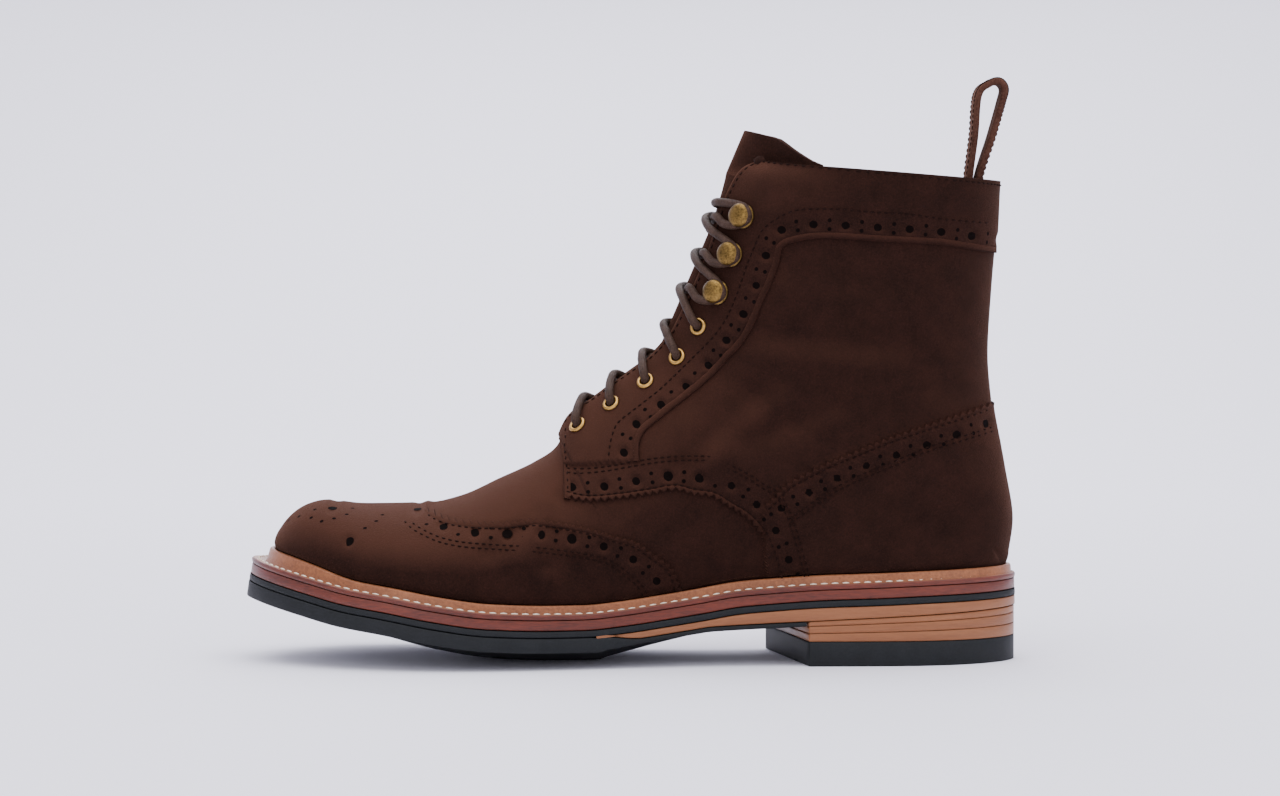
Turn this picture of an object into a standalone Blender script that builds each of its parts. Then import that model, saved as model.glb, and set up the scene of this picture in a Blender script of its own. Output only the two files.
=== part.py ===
"""Brogue boot for the left foot: a storm-welted leather-and-rubber sole, one hollow suede upper
with its overlays, a tongue, a pull loop, brass eyelets and speed hooks, and the lace's crossings.

The toe points along -X, the lateral side faces -Y, and the origin lies on the floor under the heel.
Sizes are in millimetres, and the meshes are written in metres."""
import math
from bisect import bisect_left

import bmesh
import bpy
from mathutils import Vector

MM = 0.001
GAP = 0.3

# Sole: overall sizes, then each layer's own thickness
SOLE_LENGTH = 303.6
SOLE_WIDTH = 108.0
HEEL_BACK = 40.0
TOP_PIECE = 9.6
LIFTS = (3.9, 3.5, 2.4)
WEDGE_HEEL = 5.2
WEDGE_WAIST = 2.8
OUTSOLE = 6.0
OUTSOLE_WAIST = 2.0
RUNNER = 2.7
MIDSOLE = 4.2
CROWN = 6.7
TOE_SPRING = 18.6
HEEL_LENGTH = 83.0
BREAST_SKEW = 15.0
HEEL_INSET = 0.8
HEEL_TAPER = 0.2
BREAST_GAP = 1.0

# Welt and insole
WELT = 2.2
WELT_TOE_RISE = 2.2
WELT_FLAT_HEEL = 1.6
WELT_FLAT_TOE = 4.8
LIP_HEIGHT = 5.4
LIP_THICKNESS = 2.3
LIP_PLAY = 0.8
WELT_SEAT = 0.45
INSOLE = 3.0
INSOLE_PLAY = 0.9
INSOLE_SEAT = 0.5

# Upper, overlays and tongue
UPPER_HEIGHT = 174.0
WALL = 2.2
TUCK = 0.6
FOOT_BAND = 4.0
FOOT_SPREAD = 3.0
HEEL_FREE = 24.0
BAND_PARTS = (0.5, 0.975)
BAND_HALVINGS = 12
THROAT_LOW = 5.0
THROAT_TOP = 13.0
QUARTER_RAISE = 1.0
WING_RAISE = 1.0
EYESTAY_RAISE = 1.8
COUNTER_RAISE = 1.8
RIM_MARGIN = 2.0
LIP_MARGIN = 4.5
LAP_STEP = 0.6
WELD = 0.02
TONGUE = 2.0
TONGUE_PLAY = 1.7
TONGUE_LOW = 15.0
TONGUE_TOP = 30.0

# Pull loop
LOOP_WIDTH = 18.0
LOOP_INSET = 3.8
LOOP_THICKNESS = 2.6
LOOP_HEIGHT = 39.0
LOOP_ROOT = 14.0

# Eyelets, hooks and lace
EYELETS = 5
HOOKS = 3
FIRST_EYELET = 13.0
EYELET_PITCH = 15.0
EYELET_SETBACK = 11.5
EYELET_RADIUS = 3.6
EYELET_BARREL = 2.4
EYELET_BORE = 1.8
EYELET_PROUD = 0.9
FITTING_LIFT = 0.5
FITTING_SIDES = 8
HOOK_SETBACK = 13.0
HOOK_RADIUS = 4.75
HOOK_BASE = 0.8
HOOK_NECK = 1.8
HOOK_HEIGHT = 5.4
LACE = 3.4
LACE_CLEAR = 0.6


def table(names, *rows):
    """A small table as a dictionary of its named columns."""
    return {name: [row[i] for row in rows] for i, name in enumerate(names.split())}


# Outline of the sole, from heel back (0) to toe tip (1), half-widths as shares of SOLE_WIDTH
PLAN = table(
    "share lateral medial",
    (0.00, 0.000, 0.000),
    (0.03, 0.176, 0.176),
    (0.06, 0.240, 0.240),
    (0.10, 0.287, 0.287),
    (0.15, 0.315, 0.315),
    (0.20, 0.324, 0.324),
    (0.27, 0.329, 0.319),
    (0.35, 0.333, 0.296),
    (0.42, 0.356, 0.282),
    (0.50, 0.398, 0.306),
    (0.58, 0.454, 0.361),
    (0.66, 0.500, 0.426),
    (0.72, 0.519, 0.463),
    (0.78, 0.509, 0.481),
    (0.84, 0.463, 0.472),
    (0.90, 0.380, 0.412),
    (0.94, 0.296, 0.333),
    (0.97, 0.204, 0.241),
    (1.00, -0.028, 0.028),
)

# Side line of the sole's bed: share of the heel's lift, of TOE_SPRING, and of CROWN, along the length
BED = table(
    "share heel spring crown",
    (0.00, 1.070, 0.000, 0.00),
    (0.11, 1.000, 0.000, 0.00),
    (0.18, 0.935, 0.000, 0.00),
    (0.26, 0.866, 0.000, 0.00),
    (0.31, 0.780, 0.000, 0.05),
    (0.36, 0.670, 0.000, 0.18),
    (0.41, 0.460, 0.000, 0.40),
    (0.46, 0.270, 0.000, 0.65),
    (0.51, 0.100, 0.000, 0.90),
    (0.56, 0.000, 0.000, 1.10),
    (0.60, 0.000, 0.000, 1.12),
    (0.68, 0.000, 0.050, 1.10),
    (0.75, 0.000, 0.200, 1.00),
    (0.81, 0.000, 0.380, 0.75),
    (0.87, 0.000, 0.530, 0.45),
    (0.92, 0.000, 0.715, 0.20),
    (1.00, 0.000, 1.000, 0.00),
)

# Where the wedge and the outsole's step begin and end, as shares of SOLE_LENGTH
WEDGE_START = 0.545
WEDGE_FULL = 0.485
STEP_START = 0.550
STEP_END = 0.482
STATIONS = 26
ACROSS = (-1.0, -0.6, -0.2, 0.2, 0.6, 1.0)
ACROSS_HEEL = (-1.0, 0.0, 1.0)
WELT_NARROW = 0.10
WELT_WIDE = 0.42
RISE_START = 0.85
RISE_FULL = 0.97

# Sections of the upper, each in a plane from the ridge (instep or shin) to its base. Ridge and base
# run from the heel's feather point (0) to the toe's (1), heights are shares of UPPER_HEIGHT above
# the feather line, half-widths are shares of SOLE_WIDTH, and belly is where along the section it is
# widest. A base height of 0 lies on the feather line.
SECTIONS = table(
    "ridge_x ridge_z base_x base_z lateral medial belly top low",
    (1.000, 0.000, 1.000, 0.000, 0.000, 0.000, 0.80, 2.10, 2.10),
    (0.998, 0.038, 0.990, 0.000, 0.000, 0.000, 0.80, 2.10, 2.10),
    (0.988, 0.073, 0.972, 0.000, 0.000, 0.000, 0.79, 2.10, 2.10),
    (0.965, 0.118, 0.945, 0.000, 0.000, 0.000, 0.77, 2.10, 2.10),
    (0.927, 0.154, 0.906, 0.000, 0.300, 0.320, 0.74, 2.10, 2.10),
    (0.879, 0.170, 0.858, 0.000, 0.407, 0.407, 0.71, 2.05, 2.10),
    (0.813, 0.190, 0.802, 0.000, 0.446, 0.417, 0.68, 2.00, 2.10),
    (0.747, 0.231, 0.740, 0.000, 0.455, 0.404, 0.66, 1.90, 2.05),
    (0.696, 0.279, 0.670, 0.000, 0.441, 0.370, 0.64, 1.82, 2.00),
    (0.646, 0.322, 0.601, 0.000, 0.411, 0.338, 0.62, 1.78, 2.00),
    (0.615, 0.358, 0.532, 0.000, 0.380, 0.315, 0.60, 1.78, 2.00),
    (0.594, 0.423, 0.455, 0.000, 0.350, 0.301, 0.57, 1.80, 2.00),
    (0.553, 0.472, 0.351, 0.000, 0.329, 0.297, 0.53, 1.85, 2.00),
    (0.511, 0.515, 0.240, 0.000, 0.319, 0.306, 0.50, 1.90, 2.05),
    (0.487, 0.538, 0.122, 0.000, 0.315, 0.309, 0.48, 1.95, 2.10),
    (0.469, 0.563, 0.045, 0.000, 0.313, 0.310, 0.47, 2.00, 2.15),
    (0.461, 0.578, 0.010, 0.000, 0.312, 0.311, 0.47, 2.00, 2.15),
    (0.452, 0.596, 0.000, 0.001, 0.311, 0.311, 0.47, 2.00, 2.15),
    (0.442, 0.626, -0.002, 0.045, 0.311, 0.311, 0.48, 2.00, 2.20),
    (0.431, 0.662, -0.0075, 0.121, 0.311, 0.311, 0.49, 2.00, 2.20),
    (0.417, 0.709, 0.004, 0.242, 0.313, 0.313, 0.50, 2.00, 2.15),
    (0.403, 0.761, 0.0205, 0.391, 0.315, 0.315, 0.51, 2.00, 2.10),
    (0.391, 0.820, 0.0255, 0.501, 0.317, 0.317, 0.52, 2.00, 2.10),
    (0.376, 0.890, 0.0205, 0.650, 0.322, 0.322, 0.52, 2.00, 2.10),
    (0.358, 0.933, 0.0145, 0.776, 0.324, 0.324, 0.52, 2.00, 2.10),
    (0.334, 0.950, 0.0115, 0.886, 0.324, 0.324, 0.52, 2.00, 2.10),
    (0.344, 1.034, 0.006, 0.978, 0.324, 0.324, 0.52, 2.00, 2.10),
)
TOE_ROW = 0
HEEL_ROW = 17
CENTRE_ROW = 6
THROAT_ROW = 10.5
COLLAR_ROW = 25
TONGUE_ROW = 26
TONGUE_START = 9.2
ROWS_PER_SECTION = 1.5
COLUMNS = 9


def bend(xs, ys, x):
    """A smooth curve through a table's points that never overshoots them (monotone cubic)."""
    if x <= xs[0]:
        return ys[0]
    if x >= xs[-1]:
        return ys[-1]
    steps = [b - a for a, b in zip(xs, xs[1:])]
    rises = [(b - a) / h for a, b, h in zip(ys, ys[1:], steps)]
    i = max(n for n in range(len(steps)) if xs[n] <= x)

    def slope(n):
        if n == 0:
            return rises[0]
        if n == len(rises):
            return rises[-1]
        if rises[n - 1] * rises[n] <= 0:
            return 0.0
        a = 2 * steps[n] + steps[n - 1]
        b = steps[n] + 2 * steps[n - 1]
        return (a + b) / (a / rises[n - 1] + b / rises[n])

    t = (x - xs[i]) / steps[i]
    start = ys[i] * (1 + 2 * t) * (1 - t) ** 2 + slope(i) * steps[i] * t * (1 - t) ** 2
    end = ys[i + 1] * t * t * (3 - 2 * t) + slope(i + 1) * steps[i] * t * t * (t - 1)
    return start + end


def ramp(low, high, x):
    """0 up to low, 1 from high, smooth between."""
    t = min(1.0, max(0.0, (x - low) / (high - low)))
    return t * t * (3 - 2 * t)


# Sole surfaces

def turn(share):
    """The outline's own parameter, which keeps heel and toe round: 0 at the heel, 1 at the toe."""
    return math.acos(1 - 2 * min(1.0, max(0.0, share))) / math.pi


def share_of(t):
    return (1 - math.cos(math.pi * t)) / 2


def share_at(x):
    return min(1.0, max(0.0, (HEEL_BACK - x) / SOLE_LENGTH))


PLAN_TURNS = [turn(share) for share in PLAN["share"]]


def outline(side, t):
    """A point on the sole's outline; side is -1 lateral, +1 medial."""
    column = PLAN["lateral"] if side < 0 else PLAN["medial"]
    half = bend(PLAN_TURNS, column, t) * SOLE_WIDTH
    return Vector((HEEL_BACK - share_of(t) * SOLE_LENGTH, side * half, 0))


def edge(side, t, inset):
    """The outline moved inward by inset."""
    step = 0.004
    if t <= 0 or t >= 1:
        inward = Vector((-1 if t <= 0 else 1, 0, 0))
    else:
        ahead = outline(side, min(1.0, t + step)) - outline(side, max(0.0, t - step))
        inward = Vector((-ahead.y, ahead.x, 0)).normalized() * side
    return outline(side, t) + inward * inset


def bed_height(x, y):
    """Height of the runner's underside, whose edges the crown lifts above the middle."""
    share = share_at(x)
    ball = OUTSOLE + CROWN
    heel = TOP_PIECE + sum(LIFTS) + WEDGE_HEEL
    rise = bend(BED["share"], BED["heel"], share) * (heel - ball)
    spring = bend(BED["share"], BED["spring"], share) * TOE_SPRING
    half = max(1.0, abs(outline(-1 if y < 0 else 1, turn(share)).y))
    drop = bend(BED["share"], BED["crown"], share) * CROWN * max(0.0, 1 - (y / half) ** 2) ** 2
    return ball + rise + spring - drop


def on_bed(x, y, depth):
    """A point depth above the bed, measured square to it."""
    step = 2.0
    slope = (bed_height(x + step, y) - bed_height(x - step, y)) / (2 * step)
    length = math.hypot(1.0, slope)
    return Vector((x - depth * slope / length, y, bed_height(x, y) + depth / length))


def wedge_depth(share):
    return max(0.4, WEDGE_WAIST * (1 - ramp(WEDGE_FULL, WEDGE_START, share)))


def wedge_low(x, y):
    """Underside of the wedge: along the waist a fixed depth, over the heel flat on the lifts."""
    point = on_bed(x, y, -wedge_depth(share_at(x)))
    point.z = min(point.z, heel_level(TOP_PIECE + sum(LIFTS) + GAP)(x, y).z)
    return point


def outsole_high(x, y):
    if share_at(x) > WEDGE_START:
        return on_bed(x, y, -GAP)
    return wedge_low(x, y) - Vector((0, 0, GAP))


def outsole_low(x, y):
    share = share_at(x)
    thick = OUTSOLE_WAIST + (OUTSOLE - OUTSOLE_WAIST) * ramp(STEP_END, STEP_START, share)
    if share > WEDGE_START:
        point = on_bed(x, y, -thick)
    else:
        point = wedge_low(x, y) - Vector((0, 0, thick))
    point.z = max(0.0, point.z)
    return point


def bed_layer(depth):
    return lambda x, y: on_bed(x, y, depth)


def heel_level(z):
    """A plane of the heel stack: the lifts thin towards the breast, above a flat top piece."""
    middle = HEEL_BACK - HEEL_LENGTH / 2

    def surface(x, y):
        lift = max(0.0, z - TOP_PIECE) * (1 + HEEL_TAPER * (x - middle) / HEEL_LENGTH * 2)
        return Vector((x, y, min(z, TOP_PIECE) + lift))

    return surface


# Mesh helpers

def material(name, colour, roughness, metallic=0.0):
    made = bpy.data.materials.new(name)
    made.use_nodes = True
    shader = made.node_tree.nodes["Principled BSDF"]
    shader.inputs["Base Color"].default_value = (*colour, 1.0)
    shader.inputs["Roughness"].default_value = roughness
    shader.inputs["Metallic"].default_value = metallic
    return made


def add_object(name, form, collection, finish=None):
    """Writes a bmesh built in millimetres as an object in metres, faces outward."""
    bmesh.ops.remove_doubles(form, verts=form.verts, dist=0.005)
    bmesh.ops.dissolve_degenerate(form, edges=form.edges, dist=0.001)
    bmesh.ops.recalc_face_normals(form, faces=form.faces)
    bmesh.ops.scale(form, vec=(MM, MM, MM), verts=form.verts)
    mesh = bpy.data.meshes.new(name)
    form.to_mesh(mesh)
    form.free()
    mesh.shade_smooth()
    mesh.set_sharp_from_angle(angle=math.radians(40))
    made = bpy.data.objects.new(name, mesh)
    collection.objects.link(made)
    if finish:
        mesh.materials.append(finish)
    return made


def loft(rings, closed=False, layered=False):
    """A closed solid through rings of equal count; closed joins the last ring to the first.

    Layered rings run across the top and back across the underside, and both faces are split along
    the same diagonals, so that neighbouring layers stay parallel."""
    form = bmesh.new()
    loops = [[form.verts.new(point) for point in ring] for ring in rings]
    count = len(rings[0])
    pairs = list(zip(loops, loops[1:]))
    if closed:
        pairs.append((loops[-1], loops[0]))
    for first, second in pairs:
        for i in range(count):
            j = (i + 1) % count
            if not layered:
                form.faces.new((first[i], first[j], second[j], second[i]))
            elif i < count // 2:
                form.faces.new((first[i], first[j], second[j]))
                form.faces.new((first[i], second[j], second[i]))
            else:
                form.faces.new((first[i], first[j], second[i]))
                form.faces.new((first[j], second[j], second[i]))
    if not closed:
        for ring, points in ((loops[0], rings[0]), (loops[-1], rings[-1])):
            if max((a - b).length for a in points for b in points[:1]) > 0.01:
                form.faces.new(ring)
    return form


def row_across(low_t, high_t, inset, shares):
    """Points across the sole, at shares of each side's own half-width."""
    left = edge(-1, low_t, inset)
    right = edge(1, high_t, inset)
    width = max(0.001, right.y - left.y)
    middle = left.lerp(right, min(1.0, max(0.0, -left.y / width)))
    return [middle.lerp(left if share < 0 else right, abs(share)) for share in shares]


def slab(lower, upper, start, end, inset, shares):
    """One layer of the sole between two surfaces. start and end are pairs of outline parameters,
    lateral and medial, and the rows between them are the same for every layer."""
    rows = [(i / STATIONS, i / STATIONS) for i in range(STATIONS + 1)]
    near = 0.4 / STATIONS
    rows = [row for row in rows if max(start) + near < row[0] < min(end) - near]
    rings = []
    for low_t, high_t in [start] + rows + [end]:
        row = row_across(low_t, high_t, inset, shares)
        rings.append([upper(p.x, p.y) for p in row] + [lower(p.x, p.y) for p in reversed(row)])
    return loft(rings, layered=True)


def breast(offset=0.0):
    """Outline parameters of the heel breast, lateral and medial, moved forward by offset."""
    lateral = turn((HEEL_LENGTH + offset) / SOLE_LENGTH)
    medial = turn((HEEL_LENGTH + BREAST_SKEW + offset) / SOLE_LENGTH)
    return lateral, medial


def make_sole(collection):
    rubber = material("rubber", (0.018, 0.019, 0.020), 0.55)
    red = material("red_leather", (0.095, 0.022, 0.012), 0.5)
    tan = material("tan_leather", (0.38, 0.17, 0.085), 0.55)
    back = (0.0, 0.0)
    toe = (1.0, 1.0)
    step = slab(outsole_low, outsole_high, breast(BREAST_GAP), toe, 0.0, ACROSS)
    add_object("outsole", step, collection, rubber)
    runner = slab(bed_layer(0.0), bed_layer(RUNNER - GAP), back, toe, 0.0, ACROSS)
    add_object("runner", runner, collection, rubber)
    midsole = slab(bed_layer(RUNNER), bed_layer(RUNNER + MIDSOLE - GAP), back, toe, 0.0, ACROSS)
    add_object("midsole", midsole, collection, red)
    front = (turn(WEDGE_START), turn(WEDGE_START))
    wedge = slab(wedge_low, bed_layer(-GAP), back, front, 0.0, ACROSS)
    add_object("wedge", wedge, collection, tan)
    low = 0.0
    names = ("top_piece", "lift_3", "lift_2", "lift_1")
    for name, thick in zip(names, (TOP_PIECE, *LIFTS)):
        upper = heel_level(low + thick)
        lower = heel_level(low + GAP) if low else heel_level(0.0)
        body = slab(lower, upper, back, breast(), HEEL_INSET, ACROSS_HEEL)
        add_object(name, body, collection, rubber if name == "top_piece" else tan)
        low += thick


# Welt and insole

def feather_inset(t):
    """How far the upper's foot lies inside the sole's edge."""
    flat = WELT_FLAT_HEEL + (WELT_FLAT_TOE - WELT_FLAT_HEEL) * ramp(WELT_NARROW, WELT_WIDE, share_of(t))
    return flat + LIP_THICKNESS + LIP_PLAY


def welt_rise(t):
    """The welt stands a little taller round the toe."""
    return WELT_TOE_RISE * ramp(RISE_START, RISE_FULL, share_of(t))


def make_insole(collection):
    base = RUNNER + MIDSOLE
    rings = []
    for i in range(STATIONS + 1):
        t = i / STATIONS
        row = row_across(t, t, feather_inset(t) + WALL + INSOLE_PLAY, ACROSS)
        high = [on_bed(p.x, p.y, base + INSOLE) for p in row]
        low = [on_bed(p.x, p.y, base + INSOLE_SEAT) for p in reversed(row)]
        rings.append(high + low)
    finish = material("insole_leather", (0.35, 0.22, 0.13), 0.7)
    add_object("insole", loft(rings, layered=True), collection, finish)


# The last: one function gives the upper's outer surface

def feather_point(side, t):
    """Where the upper's outer face meets the welt."""
    point = edge(side, t, feather_inset(t))
    return on_bed(point.x, point.y, RUNNER + MIDSOLE + WELT + welt_rise(t))


FEATHER_STEPS = 160
FEATHER = {
    side: [feather_point(side, i / FEATHER_STEPS) for i in range(FEATHER_STEPS + 1)] for side in (-1, 1)
}
FEATHER_TRAVEL = {side: [-point.x for point in FEATHER[side]] for side in FEATHER}
HEEL_TIP = FEATHER[-1][0].x
TOE_TIP = FEATHER[-1][-1].x


def feather_turn(side, x):
    """The outline parameter of the feather line's point at x."""
    travel = FEATHER_TRAVEL[side]
    if -x <= travel[0]:
        return 0.0
    i = bisect_left(travel, -x) - 1
    if i >= FEATHER_STEPS:
        return 1.0
    return (i + (-x - travel[i]) / max(1e-9, travel[i + 1] - travel[i])) / FEATHER_STEPS


def feather_at(side, x):
    """The feather line's point at x."""
    points = FEATHER[side]
    at = feather_turn(side, x) * FEATHER_STEPS
    i = min(FEATHER_STEPS - 1, int(at))
    return points[i].lerp(points[i + 1], at - i)


def along(share):
    return HEEL_TIP + (TOE_TIP - HEEL_TIP) * share


def centre(row):
    """The toe's tip lies a little to the medial side, and the ridge runs over to it."""
    return FEATHER[-1][-1].y * (1 - ramp(TOE_ROW, CENTRE_ROW, row))


def row_value(name, row):
    values = SECTIONS[name]
    return bend(list(range(len(values))), values, row)


def throat_gap(row):
    """Half the opening between the facings, 0 below the throat."""
    if row <= THROAT_ROW:
        return 0.0
    part = (row - THROAT_ROW) / (COLLAR_ROW - THROAT_ROW)
    return THROAT_LOW + (THROAT_TOP - THROAT_LOW) * min(1.0, part)


def section(side, row):
    """Ridge point, base point, greatest half-width and base half-width of one section."""
    ridge_x = along(row_value("ridge_x", row))
    base_x = along(row_value("base_x", row))
    foot = feather_at(side, base_x)
    lift = row_value("base_z", row) * UPPER_HEIGHT
    base = Vector((base_x, 0, foot.z + lift))
    end = max(0.0, side * (foot.y - centre(row))) if lift < 0.01 * UPPER_HEIGHT else 0.0
    ground = feather_at(-1, ridge_x).z
    ridge = Vector((ridge_x, 0, ground + row_value("ridge_z", row) * UPPER_HEIGHT))
    wide = row_value("lateral" if side < 0 else "medial", row) * SOLE_WIDTH
    wide = max(wide, abs(end) + TUCK if row > TOE_ROW else 0.0)
    return ridge, base, wide, end


def angle_at(row, wide, half):
    """The section's angle at which it reaches half a given width from the ridge."""
    if half <= 0 or wide <= 0:
        return 0.0
    return math.asin(min(1.0, (half / wide) ** (row_value("top", row) / 2)))


def skin(side, row, part):
    """The upper's outer surface: part 0 at the ridge or facing edge, 1 at the base."""
    ridge, base, wide, end = section(side, row)
    belly = row_value("belly", row)
    top = 2 / row_value("top", row)
    low = 2 / row_value("low", row)
    gap = throat_gap(row)
    start = angle_at(row, wide, gap)
    lead = belly * (1 - math.cos(start) ** top)
    ridge = (ridge - base * lead) / (1 - lead)
    turned = start + (math.pi - start) * part
    if turned <= math.pi / 2:
        down = belly * (1 - math.cos(turned) ** top)
        out = wide * math.sin(turned) ** top
    else:
        back = turned - math.pi / 2
        down = belly + (1 - belly) * math.sin(back) ** low
        out = end + (wide - end) * max(0.0, math.cos(back)) ** (low * (1 + end / max(end + TUCK, wide)))
    point = ridge.lerp(base, down)
    foot = feather_at(side, point.x)
    spread = FOOT_SPREAD * max(0.0, point.z - foot.z - FOOT_BAND, point.x - HEEL_TIP + HEEL_FREE)
    out = min(out, max(0.0, side * (foot.y - centre(row))) + spread)
    point.y = centre(row) + side * out
    return point


def skin_normal(side, row, part):
    step = 0.02
    a = skin(side, row, min(1.0, part + step)) - skin(side, row, max(0.0, part - step))
    b = skin(side, min(TONGUE_ROW, row + step), part) - skin(side, max(TOE_ROW, row - step), part)
    out = b.cross(a) * side
    return out.normalized()


def skin_sheet(rows, parts):
    """Both halves of the upper's outer surface as one open mesh, faces outward."""
    form = bmesh.new()
    for side in (-1, 1):
        lines = []
        for row in rows:
            lines.append([form.verts.new(skin(side, row, part)) for part in parts(side, row)])
        for first, second in zip(lines, lines[1:]):
            for i in range(len(first) - 1):
                quad = (first[i], first[i + 1], second[i + 1], second[i])
                form.faces.new(quad if side < 0 else tuple(reversed(quad)))
    return form


def wall(sheet_object, outer, inner):
    """Gives an open sheet its wall, between two depths measured outward from it."""
    solid = sheet_object.modifiers.new("wall", "SOLIDIFY")
    solid.thickness = (outer - inner) * MM
    solid.offset = 1 + 2 * inner / (outer - inner)
    solid.use_even_offset = True
    solid.use_quality_normals = True


def add_sheet(name, form, collection, finish=None):
    """Writes an open sheet whose faces already point outward."""
    bmesh.ops.remove_doubles(form, verts=form.verts, dist=0.005)
    bmesh.ops.dissolve_degenerate(form, edges=form.edges, dist=0.001)
    bmesh.ops.scale(form, vec=(MM, MM, MM), verts=form.verts)
    mesh = bpy.data.meshes.new(name)
    form.to_mesh(mesh)
    form.free()
    mesh.shade_smooth()
    made = bpy.data.objects.new(name, mesh)
    collection.objects.link(made)
    if finish:
        mesh.materials.append(finish)
    return made


def band_part(side, row):
    """Where along a section the straight band above the welt begins."""
    low, high = BAND_PARTS
    for _ in range(BAND_HALVINGS):
        middle = (low + high) / 2
        point = skin(side, row, middle)
        if point.z - feather_at(side, point.x).z > FOOT_BAND:
            low = middle
        else:
            high = middle
    return high


def even_parts(side, row):
    """Columns spread evenly down to the band, and one more at the foot."""
    band = band_part(side, row)
    return [band * i / (COLUMNS - 1) for i in range(COLUMNS)] + [1.0]


def main_rows(first, last):
    count = round((last - first) * ROWS_PER_SECTION)
    return [first + (last - first) * i / count for i in range(count + 1)]


def welt_stops():
    """Side and outline parameter of each ring of the welt, at the upper's own rows."""
    rows = [row for row in main_rows(TOE_ROW, COLLAR_ROW) if row < HEEL_ROW]
    stops = [(-1, 0.0)]
    stops += [(-1, feather_turn(-1, along(row_value("base_x", row)))) for row in reversed(rows)]
    stops += [(1, feather_turn(1, along(row_value("base_x", row)))) for row in rows[1:]]
    return stops


def make_welt(collection):
    """A ring whose section has a flat, a groove and a raised round lip beside the upper."""
    base = RUNNER + MIDSOLE
    rings = []
    for side, t in welt_stops():
        foot = feather_inset(t)
        lip_in = foot - LIP_PLAY
        lip_out = lip_in - LIP_THICKNESS
        seat = WELT + welt_rise(t)
        lip = LIP_HEIGHT + welt_rise(t)
        section_line = (
            (foot + WALL, 0.0),
            (foot + WALL, seat - WELT_SEAT),
            (lip_in, seat - WELT_SEAT),
            (lip_in - 0.9, lip - 0.7),
            (lip_in - 1.6, lip),
            (lip_out - 0.3, lip - 0.7),
            (lip_out - 0.1, WELT),
            (lip_out - 0.7, WELT - 0.4),
            (0.5, WELT - 0.2),
            (0.0, WELT - 0.9),
            (0.1, 0.0),
        )
        ring = []
        for inset, depth in section_line:
            point = edge(side, t, inset)
            ring.append(on_bed(point.x, point.y, base + depth))
        rings.append(ring)
    tan = material("welt_leather", (0.40, 0.17, 0.075), 0.5)
    add_object("welt", loft(rings, closed=True), collection, tan)


# Pattern lines of the overlays, seen from the side: share along the feather line from heel to toe,
# and share of UPPER_HEIGHT above it

WING_EDGE = table(
    "along height",
    (0.724, 0.260),
    (0.748, 0.235),
    (0.780, 0.205),
    (0.757, 0.197),
    (0.728, 0.198),
    (0.632, 0.217),
    (0.567, 0.200),
    (0.534, 0.179),
    (0.503, 0.158),
    (0.474, 0.116),
    (0.453, 0.080),
    (0.440, 0.022),
)
QUARTER_EDGE = table(
    "along height",
    (0.598, 0.264),
    (0.568, 0.252),
    (0.525, 0.251),
    (0.453, 0.251),
    (0.427, 0.234),
    (0.402, 0.219),
    (0.380, 0.191),
    (0.359, 0.163),
    (0.341, 0.131),
    (0.329, 0.093),
    (0.316, 0.022),
)
COUNTER_EDGE = table(
    "along height",
    (0.310, 0.022),
    (0.323, 0.093),
    (0.335, 0.131),
    (0.345, 0.163),
    (0.316, 0.205),
    (0.304, 0.232),
    (0.277, 0.253),
    (0.222, 0.290),
    (0.162, 0.327),
    (0.076, 0.367),
    (0.015, 0.389),
    (-0.060, 0.410),
)
EYESTAY_EDGE = table(
    "along height",
    (0.570, 0.330),
    (0.498, 0.330),
    (0.498, 0.365),
    (0.468, 0.415),
    (0.397, 0.488),
    (0.361, 0.545),
    (0.345, 0.584),
    (0.318, 0.684),
    (0.306, 0.759),
    (0.266, 0.769),
    (0.188, 0.760),
    (0.091, 0.745),
    (0.023, 0.724),
    (-0.060, 0.700),
)


def side_point(share, height):
    x = along(share)
    foot = feather_at(-1, min(HEEL_TIP, max(TOE_TIP, x))).z
    return (x, foot + height * UPPER_HEIGHT)


def edge_points(line):
    return [side_point(a, h) for a, h in zip(line["along"], line["height"])]


def rim_line(first, last, count, margin):
    """The facing edge seen from the side, kept a margin inside it."""
    points = []
    for i in range(count + 1):
        row = first + (last - first) * i / count
        step = skin(-1, row, 0.0)
        inner = skin(-1, row, 0.5)
        inward = Vector((inner.x - step.x, 0, inner.z - step.z)).normalized()
        point = step + inward * margin
        points.append((point.x, point.z))
    return points


def collar_line(margin):
    """From the collar's front corner to past its back, a margin below the edge."""
    ridge, base, _, _ = section(-1, COLLAR_ROW)
    along_top = (base - ridge).normalized()
    start = skin(-1, COLLAR_ROW, 0.0) + along_top * margin
    end = base + along_top * 12.0
    return [(start.x, start.z - margin), (end.x, end.z - margin)]


def lip_line(first, last, count, margin):
    """A margin above the upper's foot, clear of the welt's lip, between two shares of its length."""
    points = []
    for i in range(count + 1):
        x = along(first + (last - first) * i / count)
        foot = feather_at(-1, min(HEEL_TIP, max(TOE_TIP, x)))
        points.append((x, foot.z + margin))
    return points


def prism(name, outline_points, collection):
    """A cutter: a side-view outline drawn through the whole boot."""
    form = bmesh.new()
    reach = SOLE_WIDTH
    face = form.faces.new([form.verts.new((x, -reach, z)) for x, z in outline_points])
    moved = bmesh.ops.extrude_face_region(form, geom=[face])
    side = [item for item in moved["geom"] if isinstance(item, bmesh.types.BMVert)]
    bmesh.ops.translate(form, vec=(0, 2 * reach, 0), verts=side)
    return hide(add_object(name, form, collection))


def hide(cutter):
    cutter.hide_render = True
    cutter.display_type = "WIRE"
    return cutter


def boolean(target, cutter, operation):
    step = target.modifiers.new(cutter.name, "BOOLEAN")
    step.operation = operation
    step.solver = "EXACT"
    step.object = cutter


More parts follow.
